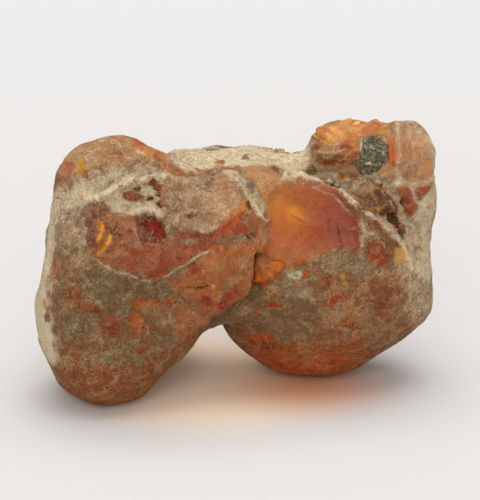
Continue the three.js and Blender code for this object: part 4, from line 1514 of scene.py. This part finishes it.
# %%
# The sheet's colours
sheet_look = Nodes("white_sheet")
place = sheet_look.tree.nodes.new("ShaderNodeTexCoord").outputs["Object"]
far = sheet_look.tree.nodes.new("ShaderNodeVectorMath")
far.operation = "LENGTH"
sheet_look.feed(far.inputs[0], place)
# Painted shade: the sheet is darker near the lump.
floor_with_painted_shade = sheet_look.mix(sheet_look.ease(0.05, 0.5, far.outputs["Value"]), rgba("c0bdbb"), rgba("cacaca"))


def glow_patch(middle, inner, outer):
    """1 on a round patch of the floor up to its inner radius, 0 beyond its outer one, in millimetres."""
    away = sheet_look.tree.nodes.new("ShaderNodeVectorMath")
    away.operation = "DISTANCE"
    sheet_look.feed(away.inputs[0], place)
    away.inputs[1].default_value = (middle[0] * MM, middle[1] * MM, 0.0)
    return sheet_look.ease(outer * MM, inner * MM, away.outputs["Value"])


# Painted glow under the arch, and a painted warm shadow under the right lobe.
painted_arch_glow = sheet_look.mix(glow_patch((-5, -1), 10, 31), floor_with_painted_shade, rgba("f6dbc0"))
painted_belly_shadow = sheet_look.mix(sheet_look.math("MULTIPLY", glow_patch((12, -4), 0, 20), 0.85), painted_arch_glow,
                             rgba("cf8c5c"))
sheet_look.feed(sheet_look.shader.inputs["Base Color"], painted_belly_shadow)
sheet_look.shader.inputs["Roughness"].default_value = 0.9
sheet_look.shader.inputs["Specular IOR Level"].default_value = 0.2
sheet_mesh.materials.append(sheet_look.material)
print("the sheet's material has", len(sheet_look.tree.nodes), "nodes")

# %% [markdown]
# The lamps are large discs, so that shadows stay soft, and the world's white light fills what they
# leave dark.

# %%
# Lights
LIT_POINT = Vector((0, 0, 0.02))


def soft_lamp(name, place, size, power):
    light = bpy.data.lights.new(name, "AREA")
    light.shape = "DISK"
    light.size = size
    light.energy = power
    lamp = bpy.data.objects.new(name, light)
    lamp.location = place
    lamp.rotation_euler = (LIT_POINT - Vector(place)).to_track_quat("-Z", "Y").to_euler()
    lamp.visible_camera = False
    bpy.context.scene.collection.objects.link(lamp)


soft_lamp("top_light", (0.02, 0.12, 0.75), 0.8, 4.1)
soft_lamp("front_light", (-0.08, -0.90, 0.36), 0.8, 5.0)
soft_lamp("sheet_light", (0.0, 0.45, 0.9), 0.5, 1.4)
world = bpy.data.worlds.new("studio")
bpy.context.scene.world = world
world.use_nodes = True
world.node_tree.nodes["Background"].inputs["Color"].default_value = (1.0, 1.0, 1.0, 1.0)
world.node_tree.nodes["Background"].inputs["Strength"].default_value = 1.06
print("there are", len(bpy.data.lights), "lamps")

# %% [markdown]
# The camera stands at the eye of the front chart, so that every outline lands where it was drawn.

# %%
# Camera
camera = bpy.data.objects.new("camera", bpy.data.cameras.new("camera"))
bpy.context.scene.collection.objects.link(camera)
bpy.context.scene.camera = camera
camera.location = Vector(front.eye * MM)
camera.rotation_euler = Vector(front.ahead).to_track_quat("-Z", "Y").to_euler()
camera.data.sensor_fit = "HORIZONTAL"
camera.data.sensor_width = 36.0
camera.data.lens = camera.data.sensor_width * EYE_DISTANCE / PICTURE_WIDTH
camera.data.clip_start = 0.01
bpy.context.scene.view_settings.view_transform = "Standard"
print("the picture is", PICTURE_WIDTH, "mm wide at the lump")

# %% [markdown]
# ## Hand over
# The fine skin and the plug's face stand for the two plain solids; the grains and the flakes ride along.

# %%
# Hand over
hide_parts("amber")
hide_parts("grit_plug")
for piece, slot in ((amber, "amber"), (spangles, "amber"), (plug, "grit"), (crumbs, "grit"), (sand, "grit")):
    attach(piece, "root")

# %% [markdown]
